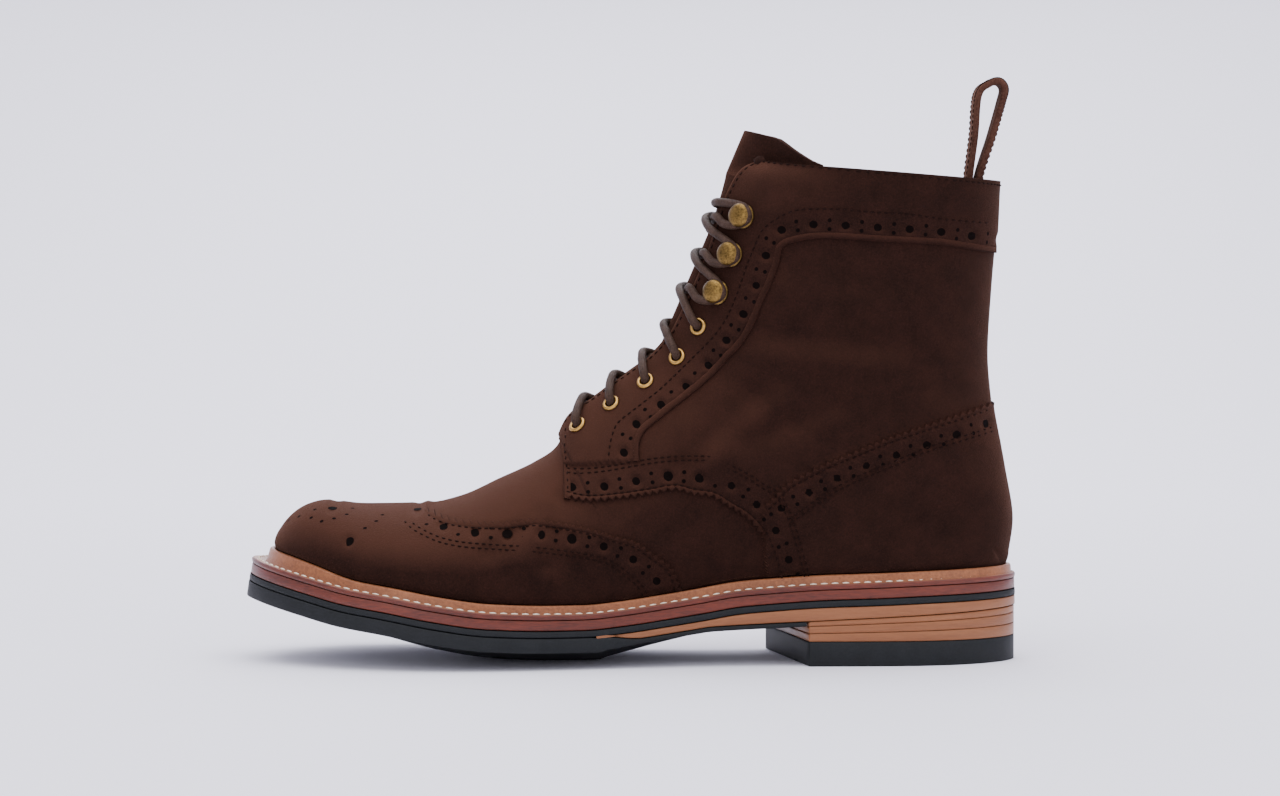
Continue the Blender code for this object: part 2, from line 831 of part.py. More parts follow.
def overlay(name, outline_points, raise_by, root, rows, cutters):
    """A raised piece: the upper's own skin, thickened outward and cut to its outline."""
    sheet = hide(add_sheet(name, skin_sheet(rows, even_parts), cutters))
    wall(sheet, raise_by, -root)
    boolean(sheet, prism(name + "_outline", outline_points, cutters), "INTERSECT")
    return sheet


def make_upper(collection, cutters):
    suede = material("suede", (0.045, 0.018, 0.010), 0.95)
    rows = main_rows(TOE_ROW, COLLAR_ROW)
    upper = add_sheet("upper", skin_sheet(rows, even_parts), collection, suede)
    wall(upper, 0.0, -WALL)
    inner = RIM_MARGIN + LAP_STEP
    peak = side_point(0.724, 0.5)
    toe = side_point(1.06, 0.5)
    wing = [peak] + edge_points(WING_EDGE) + lip_line(0.443, 1.06, 14, LIP_MARGIN) + [toe]
    front = [side_point(0.598, 0.40)]
    rim = collar_line(RIM_MARGIN)[::-1] + rim_line(THROAT_ROW + 1, COLLAR_ROW - 1, 10, RIM_MARGIN)[::-1]
    quarter = front + edge_points(QUARTER_EDGE) + lip_line(0.312, -0.06, 8, LIP_MARGIN) + rim
    counter = edge_points(COUNTER_EDGE) + lip_line(-0.07, 0.306, 9, LIP_MARGIN + LAP_STEP)
    rim = collar_line(inner)[::-1] + rim_line(THROAT_ROW + 1.5, COLLAR_ROW - 1.2, 9, inner)[::-1]
    eyestay = edge_points(EYESTAY_EDGE) + rim
    pieces = (
        overlay("wing_cap", wing, WING_RAISE, 0.5, rows, cutters),
        overlay("quarter", quarter, QUARTER_RAISE, 0.7, rows, cutters),
        overlay("counter", counter, COUNTER_RAISE, 0.9, rows, cutters),
        overlay("eyestay", eyestay, EYESTAY_RAISE, 1.1, rows, cutters),
    )
    for piece in pieces:
        boolean(upper, piece, "UNION")
    tidy = upper.modifiers.new("weld", "WELD")
    tidy.merge_threshold = WELD * MM
    return upper


def make_tongue(collection):
    """Lies under the facings and rises to a rounded top above the collar."""
    suede = material("tongue_suede", (0.050, 0.021, 0.012), 0.95)
    form = bmesh.new()
    steps = 17
    columns = 4
    grid = []
    for n in range(-columns, columns + 1):
        side = -1 if n < 0 else 1
        spread = abs(n) / columns
        end = TONGUE_ROW - 0.95 * spread ** 2
        line = []
        for i in range(steps + 1):
            row = TONGUE_START + (end - TONGUE_START) * i / steps
            rise = i / steps
            half = TONGUE_LOW + (TONGUE_TOP - TONGUE_LOW) * rise
            line.append(form.verts.new(across_skin(side, row, half * spread)))
        grid.append(line)
    for first, second in zip(grid, grid[1:]):
        for i in range(steps):
            form.faces.new((first[i], first[i + 1], second[i + 1], second[i]))
    tongue = add_sheet("tongue", form, collection, suede)
    outer = -(WALL + TONGUE_PLAY)
    wall(tongue, outer, outer - TONGUE)


def across_skin(side, row, half):
    """A point of the closed section, with no throat, half away from the middle."""
    ridge, base, wide, _ = section(side, row)
    belly = row_value("belly", row)
    top = 2 / row_value("top", row)
    gap = throat_gap(row)
    lead = belly * (1 - math.cos(angle_at(row, wide, gap)) ** top)
    ridge = (ridge - base * lead) / (1 - lead)
    reach = angle_at(row, wide, min(half, 0.98 * wide))
    point = ridge.lerp(base, belly * (1 - math.cos(reach) ** top))
    point.y = centre(row) + side * min(half, 0.98 * wide)
    return point


def make_pull_loop(collection):
    """A strap folded over, both ends sewn inside the back of the collar."""
    suede = material("strap_suede", (0.075, 0.032, 0.020), 0.9)
    _, back, _, _ = section(1, COLLAR_ROW)
    inside = back.x - WALL - LOOP_INSET
    half = LOOP_THICKNESS / 2
    route = table(
        "x z",
        (-half, -LOOP_ROOT),
        (-half, 0.0),
        (0.8, 0.45 * LOOP_HEIGHT),
        (4.6, 0.80 * LOOP_HEIGHT),
        (5.6, 0.93 * LOOP_HEIGHT),
        (3.4, LOOP_HEIGHT),
        (-0.4, 0.975 * LOOP_HEIGHT),
        (-4.6, 0.86 * LOOP_HEIGHT),
        (-6.0, 0.45 * LOOP_HEIGHT),
        (-half - LOOP_THICKNESS - 1.0, 0.0),
        (-half - LOOP_THICKNESS - 0.8, -LOOP_ROOT),
    )
    count = len(route["x"])
    samples = 30
    points = []
    for i in range(samples + 1):
        at = i * (count - 1) / samples
        x = bend(list(range(count)), route["x"], at)
        z = bend(list(range(count)), route["z"], at)
        points.append(Vector((inside + x, 0, back.z + z)))
    rings = []
    for i, point in enumerate(points):
        ahead = points[min(samples, i + 1)] - points[max(0, i - 1)]
        out = Vector((ahead.z, 0, -ahead.x)).normalized() * half
        wide = Vector((0, LOOP_WIDTH / 2, 0))
        rings.append([point + out + wide, point + out - wide, point - out - wide, point - out + wide])
    add_object("pull_loop", loft(rings), collection, suede)


# Fittings along the facings

def facing_row(distance):
    """The section row whose facing edge lies this far along it from the throat."""
    row = THROAT_ROW
    step = 0.02
    walked = 0.0
    last = skin(-1, row, 0.0)
    while walked < distance and row < COLLAR_ROW:
        row += step
        point = skin(-1, row, 0.0)
        walked += (point - last).length
        last = point
    return row


def facing_seat(side, distance, setback, lift):
    """Centre and outward normal of a fitting set back from the facing edge."""
    row = facing_row(distance)
    rim = skin(side, row, 0.0)
    part = 0.0
    while (skin(side, row, part) - rim).length < setback:
        part += 0.002
    normal = skin_normal(side, row, part)
    return skin(side, row, part) + normal * lift, normal


def turned(name, profile, place, normal, steps, collection, finish):
    """A profile of (radius, height) turned about the fitting's axis."""
    form = bmesh.new()
    verts = [form.verts.new((radius, 0, height)) for radius, height in profile]
    edges = [form.edges.new(pair) for pair in zip(verts, verts[1:] + verts[:1])]
    bmesh.ops.spin(form, geom=verts + edges, axis=(0, 0, 1), cent=(0, 0, 0), steps=steps,
                   angle=2 * math.pi, use_merge=True)
    bmesh.ops.remove_doubles(form, verts=form.verts, dist=0.005)
    loose = [e for e in form.edges if not e.link_faces]
    bmesh.ops.delete(form, geom=loose, context="EDGES")
    turn_to = normal.to_track_quat("Z", "Y")
    for vert in form.verts:
        vert.co = turn_to @ vert.co + place
    return add_object(name, form, collection, finish)


def levels():
    return [FIRST_EYELET + EYELET_PITCH * i for i in range(EYELETS + HOOKS)]


def make_eyelets(collection, cutters, upper):
    brass = material("eyelet_brass", (0.55, 0.40, 0.20), 0.35, 1.0)
    depth = EYESTAY_RAISE + WALL + 0.1
    ring = (
        (EYELET_BORE, EYELET_PROUD - 0.2),
        (EYELET_BARREL + 0.2, EYELET_PROUD),
        (EYELET_RADIUS, GAP + 0.1),
        (EYELET_RADIUS - 0.2, 0.0),
        (EYELET_BARREL, 0.0),
        (EYELET_BARREL, -depth),
        (EYELET_BORE, -depth),
    )
    hole = EYELET_BARREL + 1.3 * GAP
    drill = ((0.0, 4.0), (hole, 4.0), (hole, -depth - 2.0), (0.0, -depth - 2.0))
    for side, word in ((-1, "lateral"), (1, "medial")):
        for i, distance in enumerate(levels()[:EYELETS], 1):
            place, normal = facing_seat(side, distance, EYELET_SETBACK, EYESTAY_RAISE + FITTING_LIFT)
            turned(f"eyelet_{i}_{word}", ring, place, normal, FITTING_SIDES, collection, brass)
            name = f"eyelet_hole_{i}_{word}"
            bit = turned(name, drill, place, normal, FITTING_SIDES, cutters, None)
            boolean(upper, hide(bit), "DIFFERENCE")


def make_hooks(collection):
    brass = material("hook_brass", (0.30, 0.21, 0.10), 0.4, 1.0)
    cap = HOOK_HEIGHT
    shape = (
        (0.0, cap),
        (HOOK_RADIUS * 0.7, cap - 0.7),
        (HOOK_RADIUS, cap - 2.0),
        (HOOK_RADIUS - 0.5, cap - 2.1),
        (HOOK_NECK + 0.4, cap - 1.4),
        (HOOK_NECK, HOOK_BASE),
        (HOOK_RADIUS - 0.3, HOOK_BASE),
        (HOOK_RADIUS, 0.0),
        (0.0, 0.0),
    )
    for side, word in ((-1, "lateral"), (1, "medial")):
        for i, distance in enumerate(levels()[EYELETS:], 1):
            place, normal = facing_seat(side, distance, HOOK_SETBACK, EYESTAY_RAISE + FITTING_LIFT)
            turned(f"hook_{i}_{word}", shape, place, normal, FITTING_SIDES, collection, brass)


def smooth_route(points, per_leg):
    """A Catmull-Rom curve through the points."""
    route = []
    for i in range(len(points) - 1):
        a, b = points[max(0, i - 1)], points[i]
        c, d = points[i + 1], points[min(len(points) - 1, i + 2)]
        for n in range(per_leg):
            t = n / per_leg
            route.append(
                0.5 * ((2 * b) + (c - a) * t + (2 * a - 5 * b + 4 * c - d) * t ** 2
                       + (3 * b - a - 3 * c + d) * t ** 3)
            )
    route.append(points[-1])
    return route


def cord(name, route, radius, collection, finish):
    """A round cord as a closed mesh, from a curve with a bevel and filled caps."""
    curve = bpy.data.curves.new(name, "CURVE")
    curve.dimensions = "3D"
    curve.bevel_depth = radius * MM
    curve.bevel_resolution = 2
    curve.use_fill_caps = True
    spline = curve.splines.new("POLY")
    spline.points.add(len(route) - 1)
    for spot, point in zip(spline.points, route):
        spot.co = (*(point * MM), 1.0)
    shaped = bpy.data.objects.new(name + "_curve", curve)
    collection.objects.link(shaped)
    bpy.context.view_layer.update()
    evaluated = shaped.evaluated_get(bpy.context.evaluated_depsgraph_get())
    mesh = bpy.data.meshes.new_from_object(evaluated)
    form = bmesh.new()
    form.from_mesh(mesh)
    bmesh.ops.remove_doubles(form, verts=form.verts, dist=0.00001)
    bmesh.ops.recalc_face_normals(form, faces=form.faces)
    form.to_mesh(mesh)
    form.free()
    bpy.data.objects.remove(shaped)
    mesh.name = name
    mesh.shade_smooth()
    made = bpy.data.objects.new(name, mesh)
    collection.objects.link(made)
    mesh.materials.clear()
    if finish:
        mesh.materials.append(finish)
    return made


def lace_turn(side, distance):
    """Where a crossing turns, over the facing's rim and clear of it."""
    lift = EYESTAY_RAISE + LACE_CLEAR + LACE / 2
    place, _ = facing_seat(side, distance, RIM_MARGIN, lift)
    return place


def make_lace(collection, cutters):
    """Two zigzags over the throat, one of them with the lowest bar, joined where they cross."""
    waxed = material("lace_cotton", (0.035, 0.022, 0.018), 0.6)
    stops = levels()
    first = [lace_turn(-1 if i % 2 == 0 else 1, d) for i, d in enumerate(stops)]
    second = [lace_turn(1 if i % 2 == 0 else -1, d) for i, d in enumerate(stops)]
    bar = [first[0].lerp(second[0], 0.04), first[0].lerp(second[0], 0.5)]
    one = cord("lace", smooth_route(first, 3), LACE / 2, collection, waxed)
    two = hide(cord("lace_second", smooth_route(bar + second, 3), LACE / 2, cutters, None))
    boolean(one, two, "UNION")


def main():
    for item in list(bpy.data.objects):
        bpy.data.objects.remove(item)
    boot = bpy.data.collections.new("brogue_boot")
    cutters = bpy.data.collections.new("cutters")
    bpy.context.scene.collection.children.link(boot)
    bpy.context.scene.collection.children.link(cutters)
    make_sole(boot)
    make_welt(boot)
    make_insole(boot)
    upper = make_upper(boot, cutters)
    make_tongue(boot)
    make_pull_loop(boot)
    make_eyelets(boot, cutters, upper)
    make_hooks(boot)
    make_lace(boot, cutters)


if __name__ == "__main__":
    main()
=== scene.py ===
"""Looks of the brogue boot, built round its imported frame.

Sizes are in millimetres, and meshes are written in metres. The toe points along -X and the lateral
side faces -Y. The last's own functions, repeated from the part's source, give every surface."""
import math
from bisect import bisect_left

import bmesh
import bpy
import numpy as np
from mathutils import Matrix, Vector
from mathutils.bvhtree import BVHTree


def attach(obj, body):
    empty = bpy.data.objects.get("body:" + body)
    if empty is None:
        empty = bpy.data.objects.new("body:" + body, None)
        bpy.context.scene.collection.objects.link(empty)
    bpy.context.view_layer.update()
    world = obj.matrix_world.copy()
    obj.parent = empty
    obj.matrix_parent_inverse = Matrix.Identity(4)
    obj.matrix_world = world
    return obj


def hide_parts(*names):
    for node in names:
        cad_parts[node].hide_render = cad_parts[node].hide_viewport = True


MM = 0.001
GAP = 0.3

# Sole: overall sizes, then each layer's own thickness
SOLE_LENGTH = 303.6
SOLE_WIDTH = 108.0
HEEL_BACK = 40.0
TOP_PIECE = 9.6
LIFTS = (3.9, 3.5, 2.4)
WEDGE_HEEL = 5.2
WEDGE_WAIST = 2.8
OUTSOLE = 6.0
OUTSOLE_WAIST = 2.0
RUNNER = 2.7
MIDSOLE = 4.2
CROWN = 6.7
TOE_SPRING = 18.6
HEEL_LENGTH = 83.0
BREAST_SKEW = 15.0
HEEL_INSET = 0.8
HEEL_TAPER = 0.2
BREAST_GAP = 1.0

# Welt and insole
WELT = 2.2
WELT_TOE_RISE = 2.2
WELT_FLAT_HEEL = 1.6
WELT_FLAT_TOE = 4.8
LIP_HEIGHT = 5.4
LIP_THICKNESS = 2.3
LIP_PLAY = 0.8
WELT_SEAT = 0.45
INSOLE = 3.0
INSOLE_PLAY = 0.9
INSOLE_SEAT = 0.5

# Upper, overlays and tongue
UPPER_HEIGHT = 174.0
WALL = 2.2
TUCK = 0.6
FOOT_BAND = 4.0
FOOT_SPREAD = 3.0
HEEL_FREE = 24.0
BAND_PARTS = (0.5, 0.975)
BAND_HALVINGS = 12
THROAT_LOW = 5.0
THROAT_TOP = 13.0
QUARTER_RAISE = 1.0
WING_RAISE = 1.0
EYESTAY_RAISE = 1.8
COUNTER_RAISE = 1.8
RIM_MARGIN = 2.0
LIP_MARGIN = 4.5
LAP_STEP = 0.6
WELD = 0.02
TONGUE = 2.0
TONGUE_PLAY = 1.7
TONGUE_LOW = 15.0
TONGUE_TOP = 30.0


# Pull loop
LOOP_WIDTH = 18.0
LOOP_INSET = 3.8
LOOP_THICKNESS = 2.6
LOOP_HEIGHT = 39.0
LOOP_ROOT = 14.0

# Eyelets, hooks and lace
EYELETS = 5
HOOKS = 3
FIRST_EYELET = 13.0
EYELET_PITCH = 15.0
EYELET_SETBACK = 11.5
EYELET_RADIUS = 3.6
EYELET_BARREL = 2.4
EYELET_BORE = 1.8
EYELET_PROUD = 0.9
FITTING_LIFT = 0.5
FITTING_SIDES = 8
HOOK_SETBACK = 13.0
HOOK_RADIUS = 4.75
HOOK_BASE = 0.8
HOOK_NECK = 1.8
HOOK_HEIGHT = 5.4
LACE = 3.4
LACE_CLEAR = 0.6



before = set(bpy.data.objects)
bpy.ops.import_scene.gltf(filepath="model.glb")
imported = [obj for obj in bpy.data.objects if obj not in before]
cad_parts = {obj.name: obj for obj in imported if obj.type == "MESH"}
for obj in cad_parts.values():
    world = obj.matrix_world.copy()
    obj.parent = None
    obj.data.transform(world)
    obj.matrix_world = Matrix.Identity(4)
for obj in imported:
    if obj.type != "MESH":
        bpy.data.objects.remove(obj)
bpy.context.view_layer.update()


def table(names, *rows):
    """A small table as a dictionary of its named columns."""
    return {name: [row[i] for row in rows] for i, name in enumerate(names.split())}


# Outline of the sole, from heel back (0) to toe tip (1), half-widths as shares of SOLE_WIDTH
PLAN = table(
    "share lateral medial",
    (0.00, 0.000, 0.000),
    (0.03, 0.176, 0.176),
    (0.06, 0.240, 0.240),
    (0.10, 0.287, 0.287),
    (0.15, 0.315, 0.315),
    (0.20, 0.324, 0.324),
    (0.27, 0.329, 0.319),
    (0.35, 0.333, 0.296),
    (0.42, 0.356, 0.282),
    (0.50, 0.398, 0.306),
    (0.58, 0.454, 0.361),
    (0.66, 0.500, 0.426),
    (0.72, 0.519, 0.463),
    (0.78, 0.509, 0.481),
    (0.84, 0.463, 0.472),
    (0.90, 0.380, 0.412),
    (0.94, 0.296, 0.333),
    (0.97, 0.204, 0.241),
    (1.00, -0.028, 0.028),
)

# Side line of the sole's bed: share of the heel's lift, of TOE_SPRING, and of CROWN, along the length
BED = table(
    "share heel spring crown",
    (0.00, 1.070, 0.000, 0.00),
    (0.11, 1.000, 0.000, 0.00),
    (0.18, 0.935, 0.000, 0.00),
    (0.26, 0.866, 0.000, 0.00),
    (0.31, 0.780, 0.000, 0.05),
    (0.36, 0.670, 0.000, 0.18),
    (0.41, 0.460, 0.000, 0.40),
    (0.46, 0.270, 0.000, 0.65),
    (0.51, 0.100, 0.000, 0.90),
    (0.56, 0.000, 0.000, 1.10),
    (0.60, 0.000, 0.000, 1.12),
    (0.68, 0.000, 0.050, 1.10),
    (0.75, 0.000, 0.200, 1.00),
    (0.81, 0.000, 0.380, 0.75),
    (0.87, 0.000, 0.530, 0.45),
    (0.92, 0.000, 0.715, 0.20),
    (1.00, 0.000, 1.000, 0.00),
)

# Where the wedge and the outsole's step begin and end, as shares of SOLE_LENGTH
WEDGE_START = 0.545
WEDGE_FULL = 0.485
STEP_START = 0.550
STEP_END = 0.482
STATIONS = 26
ACROSS = (-1.0, -0.6, -0.2, 0.2, 0.6, 1.0)
ACROSS_HEEL = (-1.0, 0.0, 1.0)
WELT_NARROW = 0.10
WELT_WIDE = 0.42
RISE_START = 0.85
RISE_FULL = 0.97

# Sections of the upper, each in a plane from the ridge (instep or shin) to its base. Ridge and base
# run from the heel's feather point (0) to the toe's (1), heights are shares of UPPER_HEIGHT above
# the feather line, half-widths are shares of SOLE_WIDTH, and belly is where along the section it is
# widest. A base height of 0 lies on the feather line.
SECTIONS = table(
    "ridge_x ridge_z base_x base_z lateral medial belly top low",
    (1.000, 0.000, 1.000, 0.000, 0.000, 0.000, 0.80, 2.10, 2.10),
    (0.998, 0.038, 0.990, 0.000, 0.000, 0.000, 0.80, 2.10, 2.10),
    (0.988, 0.073, 0.972, 0.000, 0.000, 0.000, 0.79, 2.10, 2.10),
    (0.965, 0.118, 0.945, 0.000, 0.000, 0.000, 0.77, 2.10, 2.10),
    (0.927, 0.154, 0.906, 0.000, 0.300, 0.320, 0.74, 2.10, 2.10),
    (0.879, 0.170, 0.858, 0.000, 0.407, 0.407, 0.71, 2.05, 2.10),
    (0.813, 0.190, 0.802, 0.000, 0.446, 0.417, 0.68, 2.00, 2.10),
    (0.747, 0.231, 0.740, 0.000, 0.455, 0.404, 0.66, 1.90, 2.05),
    (0.696, 0.279, 0.670, 0.000, 0.441, 0.370, 0.64, 1.82, 2.00),
    (0.646, 0.322, 0.601, 0.000, 0.411, 0.338, 0.62, 1.78, 2.00),
    (0.615, 0.358, 0.532, 0.000, 0.380, 0.315, 0.60, 1.78, 2.00),
    (0.594, 0.423, 0.455, 0.000, 0.350, 0.301, 0.57, 1.80, 2.00),
    (0.553, 0.472, 0.351, 0.000, 0.329, 0.297, 0.53, 1.85, 2.00),
    (0.511, 0.515, 0.240, 0.000, 0.319, 0.306, 0.50, 1.90, 2.05),
    (0.487, 0.538, 0.122, 0.000, 0.315, 0.309, 0.48, 1.95, 2.10),
    (0.469, 0.563, 0.045, 0.000, 0.313, 0.310, 0.47, 2.00, 2.15),
    (0.461, 0.578, 0.010, 0.000, 0.312, 0.311, 0.47, 2.00, 2.15),
    (0.452, 0.596, 0.000, 0.001, 0.311, 0.311, 0.47, 2.00, 2.15),
    (0.442, 0.626, -0.002, 0.045, 0.311, 0.311, 0.48, 2.00, 2.20),
    (0.431, 0.662, -0.0075, 0.121, 0.311, 0.311, 0.49, 2.00, 2.20),
    (0.417, 0.709, 0.004, 0.242, 0.313, 0.313, 0.50, 2.00, 2.15),
    (0.403, 0.761, 0.0205, 0.391, 0.315, 0.315, 0.51, 2.00, 2.10),
    (0.391, 0.820, 0.0255, 0.501, 0.317, 0.317, 0.52, 2.00, 2.10),
    (0.376, 0.890, 0.0205, 0.650, 0.322, 0.322, 0.52, 2.00, 2.10),
    (0.358, 0.933, 0.0145, 0.776, 0.324, 0.324, 0.52, 2.00, 2.10),
    (0.334, 0.950, 0.0115, 0.886, 0.324, 0.324, 0.52, 2.00, 2.10),
    (0.344, 1.034, 0.006, 0.978, 0.324, 0.324, 0.52, 2.00, 2.10),
)
TOE_ROW = 0
HEEL_ROW = 17
CENTRE_ROW = 6
THROAT_ROW = 10.5
COLLAR_ROW = 25
TONGUE_ROW = 26
TONGUE_START = 9.2
ROWS_PER_SECTION = 1.5
COLUMNS = 9


def bend(xs, ys, x):
    """A smooth curve through a table's points that never overshoots them (monotone cubic)."""
    if x <= xs[0]:
        return ys[0]
    if x >= xs[-1]:
        return ys[-1]
    steps = [b - a for a, b in zip(xs, xs[1:])]
    rises = [(b - a) / h for a, b, h in zip(ys, ys[1:], steps)]
    i = max(n for n in range(len(steps)) if xs[n] <= x)

    def slope(n):
        if n == 0:
            return rises[0]
        if n == len(rises):
            return rises[-1]
        if rises[n - 1] * rises[n] <= 0:
            return 0.0
        a = 2 * steps[n] + steps[n - 1]
        b = steps[n] + 2 * steps[n - 1]
        return (a + b) / (a / rises[n - 1] + b / rises[n])

    t = (x - xs[i]) / steps[i]
    start = ys[i] * (1 + 2 * t) * (1 - t) ** 2 + slope(i) * steps[i] * t * (1 - t) ** 2
    end = ys[i + 1] * t * t * (3 - 2 * t) + slope(i + 1) * steps[i] * t * t * (t - 1)
    return start + end


def ramp(low, high, x):
    """0 up to low, 1 from high, smooth between."""
    t = min(1.0, max(0.0, (x - low) / (high - low)))
    return t * t * (3 - 2 * t)


# Sole surfaces

def turn(share):
    """The outline's own parameter, which keeps heel and toe round: 0 at the heel, 1 at the toe."""
    return math.acos(1 - 2 * min(1.0, max(0.0, share))) / math.pi


def share_of(t):
    return (1 - math.cos(math.pi * t)) / 2


def share_at(x):
    return min(1.0, max(0.0, (HEEL_BACK - x) / SOLE_LENGTH))


PLAN_TURNS = [turn(share) for share in PLAN["share"]]


def outline(side, t):
    """A point on the sole's outline; side is -1 lateral, +1 medial."""
    column = PLAN["lateral"] if side < 0 else PLAN["medial"]
    half = bend(PLAN_TURNS, column, t) * SOLE_WIDTH
    return Vector((HEEL_BACK - share_of(t) * SOLE_LENGTH, side * half, 0))


def edge(side, t, inset):
    """The outline moved inward by inset."""
    step = 0.004
    if t <= 0 or t >= 1:
        inward = Vector((-1 if t <= 0 else 1, 0, 0))
    else:
        ahead = outline(side, min(1.0, t + step)) - outline(side, max(0.0, t - step))
        inward = Vector((-ahead.y, ahead.x, 0)).normalized() * side
    return outline(side, t) + inward * inset


def bed_height(x, y):
    """Height of the runner's underside, whose edges the crown lifts above the middle."""
    share = share_at(x)
    ball = OUTSOLE + CROWN
    heel = TOP_PIECE + sum(LIFTS) + WEDGE_HEEL
    rise = bend(BED["share"], BED["heel"], share) * (heel - ball)
    spring = bend(BED["share"], BED["spring"], share) * TOE_SPRING
    half = max(1.0, abs(outline(-1 if y < 0 else 1, turn(share)).y))
    drop = bend(BED["share"], BED["crown"], share) * CROWN * max(0.0, 1 - (y / half) ** 2) ** 2
    return ball + rise + spring - drop


def on_bed(x, y, depth):
    """A point depth above the bed, measured square to it."""
    step = 2.0
    slope = (bed_height(x + step, y) - bed_height(x - step, y)) / (2 * step)
    length = math.hypot(1.0, slope)
    return Vector((x - depth * slope / length, y, bed_height(x, y) + depth / length))


def wedge_depth(share):
    return max(0.4, WEDGE_WAIST * (1 - ramp(WEDGE_FULL, WEDGE_START, share)))


def wedge_low(x, y):
    """Underside of the wedge: along the waist a fixed depth, over the heel flat on the lifts."""
    point = on_bed(x, y, -wedge_depth(share_at(x)))
    point.z = min(point.z, heel_level(TOP_PIECE + sum(LIFTS) + GAP)(x, y).z)
    return point


def outsole_high(x, y):
    if share_at(x) > WEDGE_START:
        return on_bed(x, y, -GAP)
    return wedge_low(x, y) - Vector((0, 0, GAP))


def outsole_low(x, y):
    share = share_at(x)
    thick = OUTSOLE_WAIST + (OUTSOLE - OUTSOLE_WAIST) * ramp(STEP_END, STEP_START, share)
    if share > WEDGE_START:
        point = on_bed(x, y, -thick)
    else:
        point = wedge_low(x, y) - Vector((0, 0, thick))
    point.z = max(0.0, point.z)
    return point


def bed_layer(depth):
    return lambda x, y: on_bed(x, y, depth)


def heel_level(z):
    """A plane of the heel stack: the lifts thin towards the breast, above a flat top piece."""
    middle = HEEL_BACK - HEEL_LENGTH / 2

    def surface(x, y):
        lift = max(0.0, z - TOP_PIECE) * (1 + HEEL_TAPER * (x - middle) / HEEL_LENGTH * 2)
        return Vector((x, y, min(z, TOP_PIECE) + lift))

    return surface



def row_across(low_t, high_t, inset, shares):
    """Points across the sole, at shares of each side's own half-width."""
    left = edge(-1, low_t, inset)
    right = edge(1, high_t, inset)
    width = max(0.001, right.y - left.y)
    middle = left.lerp(right, min(1.0, max(0.0, -left.y / width)))
    return [middle.lerp(left if share < 0 else right, abs(share)) for share in shares]



def breast(offset=0.0):
    """Outline parameters of the heel breast, lateral and medial, moved forward by offset."""
    lateral = turn((HEEL_LENGTH + offset) / SOLE_LENGTH)
    medial = turn((HEEL_LENGTH + BREAST_SKEW + offset) / SOLE_LENGTH)
    return lateral, medial


def feather_inset(t):
    """How far the upper's foot lies inside the sole's edge."""
    flat = WELT_FLAT_HEEL + (WELT_FLAT_TOE - WELT_FLAT_HEEL) * ramp(WELT_NARROW, WELT_WIDE, share_of(t))
    return flat + LIP_THICKNESS + LIP_PLAY


def welt_rise(t):
    """The welt stands a little taller round the toe."""
    return WELT_TOE_RISE * ramp(RISE_START, RISE_FULL, share_of(t))


# The last: one function gives the upper's outer surface

def feather_point(side, t):
    """Where the upper's outer face meets the welt."""
    point = edge(side, t, feather_inset(t))
    return on_bed(point.x, point.y, RUNNER + MIDSOLE + WELT + welt_rise(t))


FEATHER_STEPS = 160
FEATHER = {
    side: [feather_point(side, i / FEATHER_STEPS) for i in range(FEATHER_STEPS + 1)] for side in (-1, 1)
}
FEATHER_TRAVEL = {side: [-point.x for point in FEATHER[side]] for side in FEATHER}
HEEL_TIP = FEATHER[-1][0].x
TOE_TIP = FEATHER[-1][-1].x


def feather_turn(side, x):
    """The outline parameter of the feather line's point at x."""
    travel = FEATHER_TRAVEL[side]
    if -x <= travel[0]:
        return 0.0
    i = bisect_left(travel, -x) - 1
    if i >= FEATHER_STEPS:
        return 1.0
    return (i + (-x - travel[i]) / max(1e-9, travel[i + 1] - travel[i])) / FEATHER_STEPS


def feather_at(side, x):
    """The feather line's point at x."""
    points = FEATHER[side]
    at = feather_turn(side, x) * FEATHER_STEPS
    i = min(FEATHER_STEPS - 1, int(at))
    return points[i].lerp(points[i + 1], at - i)


def along(share):
    return HEEL_TIP + (TOE_TIP - HEEL_TIP) * share


def centre(row):
    """The toe's tip lies a little to the medial side, and the ridge runs over to it."""
    return FEATHER[-1][-1].y * (1 - ramp(TOE_ROW, CENTRE_ROW, row))


def row_value(name, row):
    values = SECTIONS[name]
    return bend(list(range(len(values))), values, row)


def throat_gap(row):
    """Half the opening between the facings, 0 below the throat."""
    if row <= THROAT_ROW:
        return 0.0
    part = (row - THROAT_ROW) / (COLLAR_ROW - THROAT_ROW)
    return THROAT_LOW + (THROAT_TOP - THROAT_LOW) * min(1.0, part)


def section(side, row):
    """Ridge point, base point, greatest half-width and base half-width of one section."""
    ridge_x = along(row_value("ridge_x", row))
    base_x = along(row_value("base_x", row))
    foot = feather_at(side, base_x)
    lift = row_value("base_z", row) * UPPER_HEIGHT
    base = Vector((base_x, 0, foot.z + lift))
    end = max(0.0, side * (foot.y - centre(row))) if lift < 0.01 * UPPER_HEIGHT else 0.0
    ground = feather_at(-1, ridge_x).z
    ridge = Vector((ridge_x, 0, ground + row_value("ridge_z", row) * UPPER_HEIGHT))
    wide = row_value("lateral" if side < 0 else "medial", row) * SOLE_WIDTH
    wide = max(wide, abs(end) + TUCK if row > TOE_ROW else 0.0)
    return ridge, base, wide, end


def angle_at(row, wide, half):
    """The section's angle at which it reaches half a given width from the ridge."""
    if half <= 0 or wide <= 0:
        return 0.0
    return math.asin(min(1.0, (half / wide) ** (row_value("top", row) / 2)))


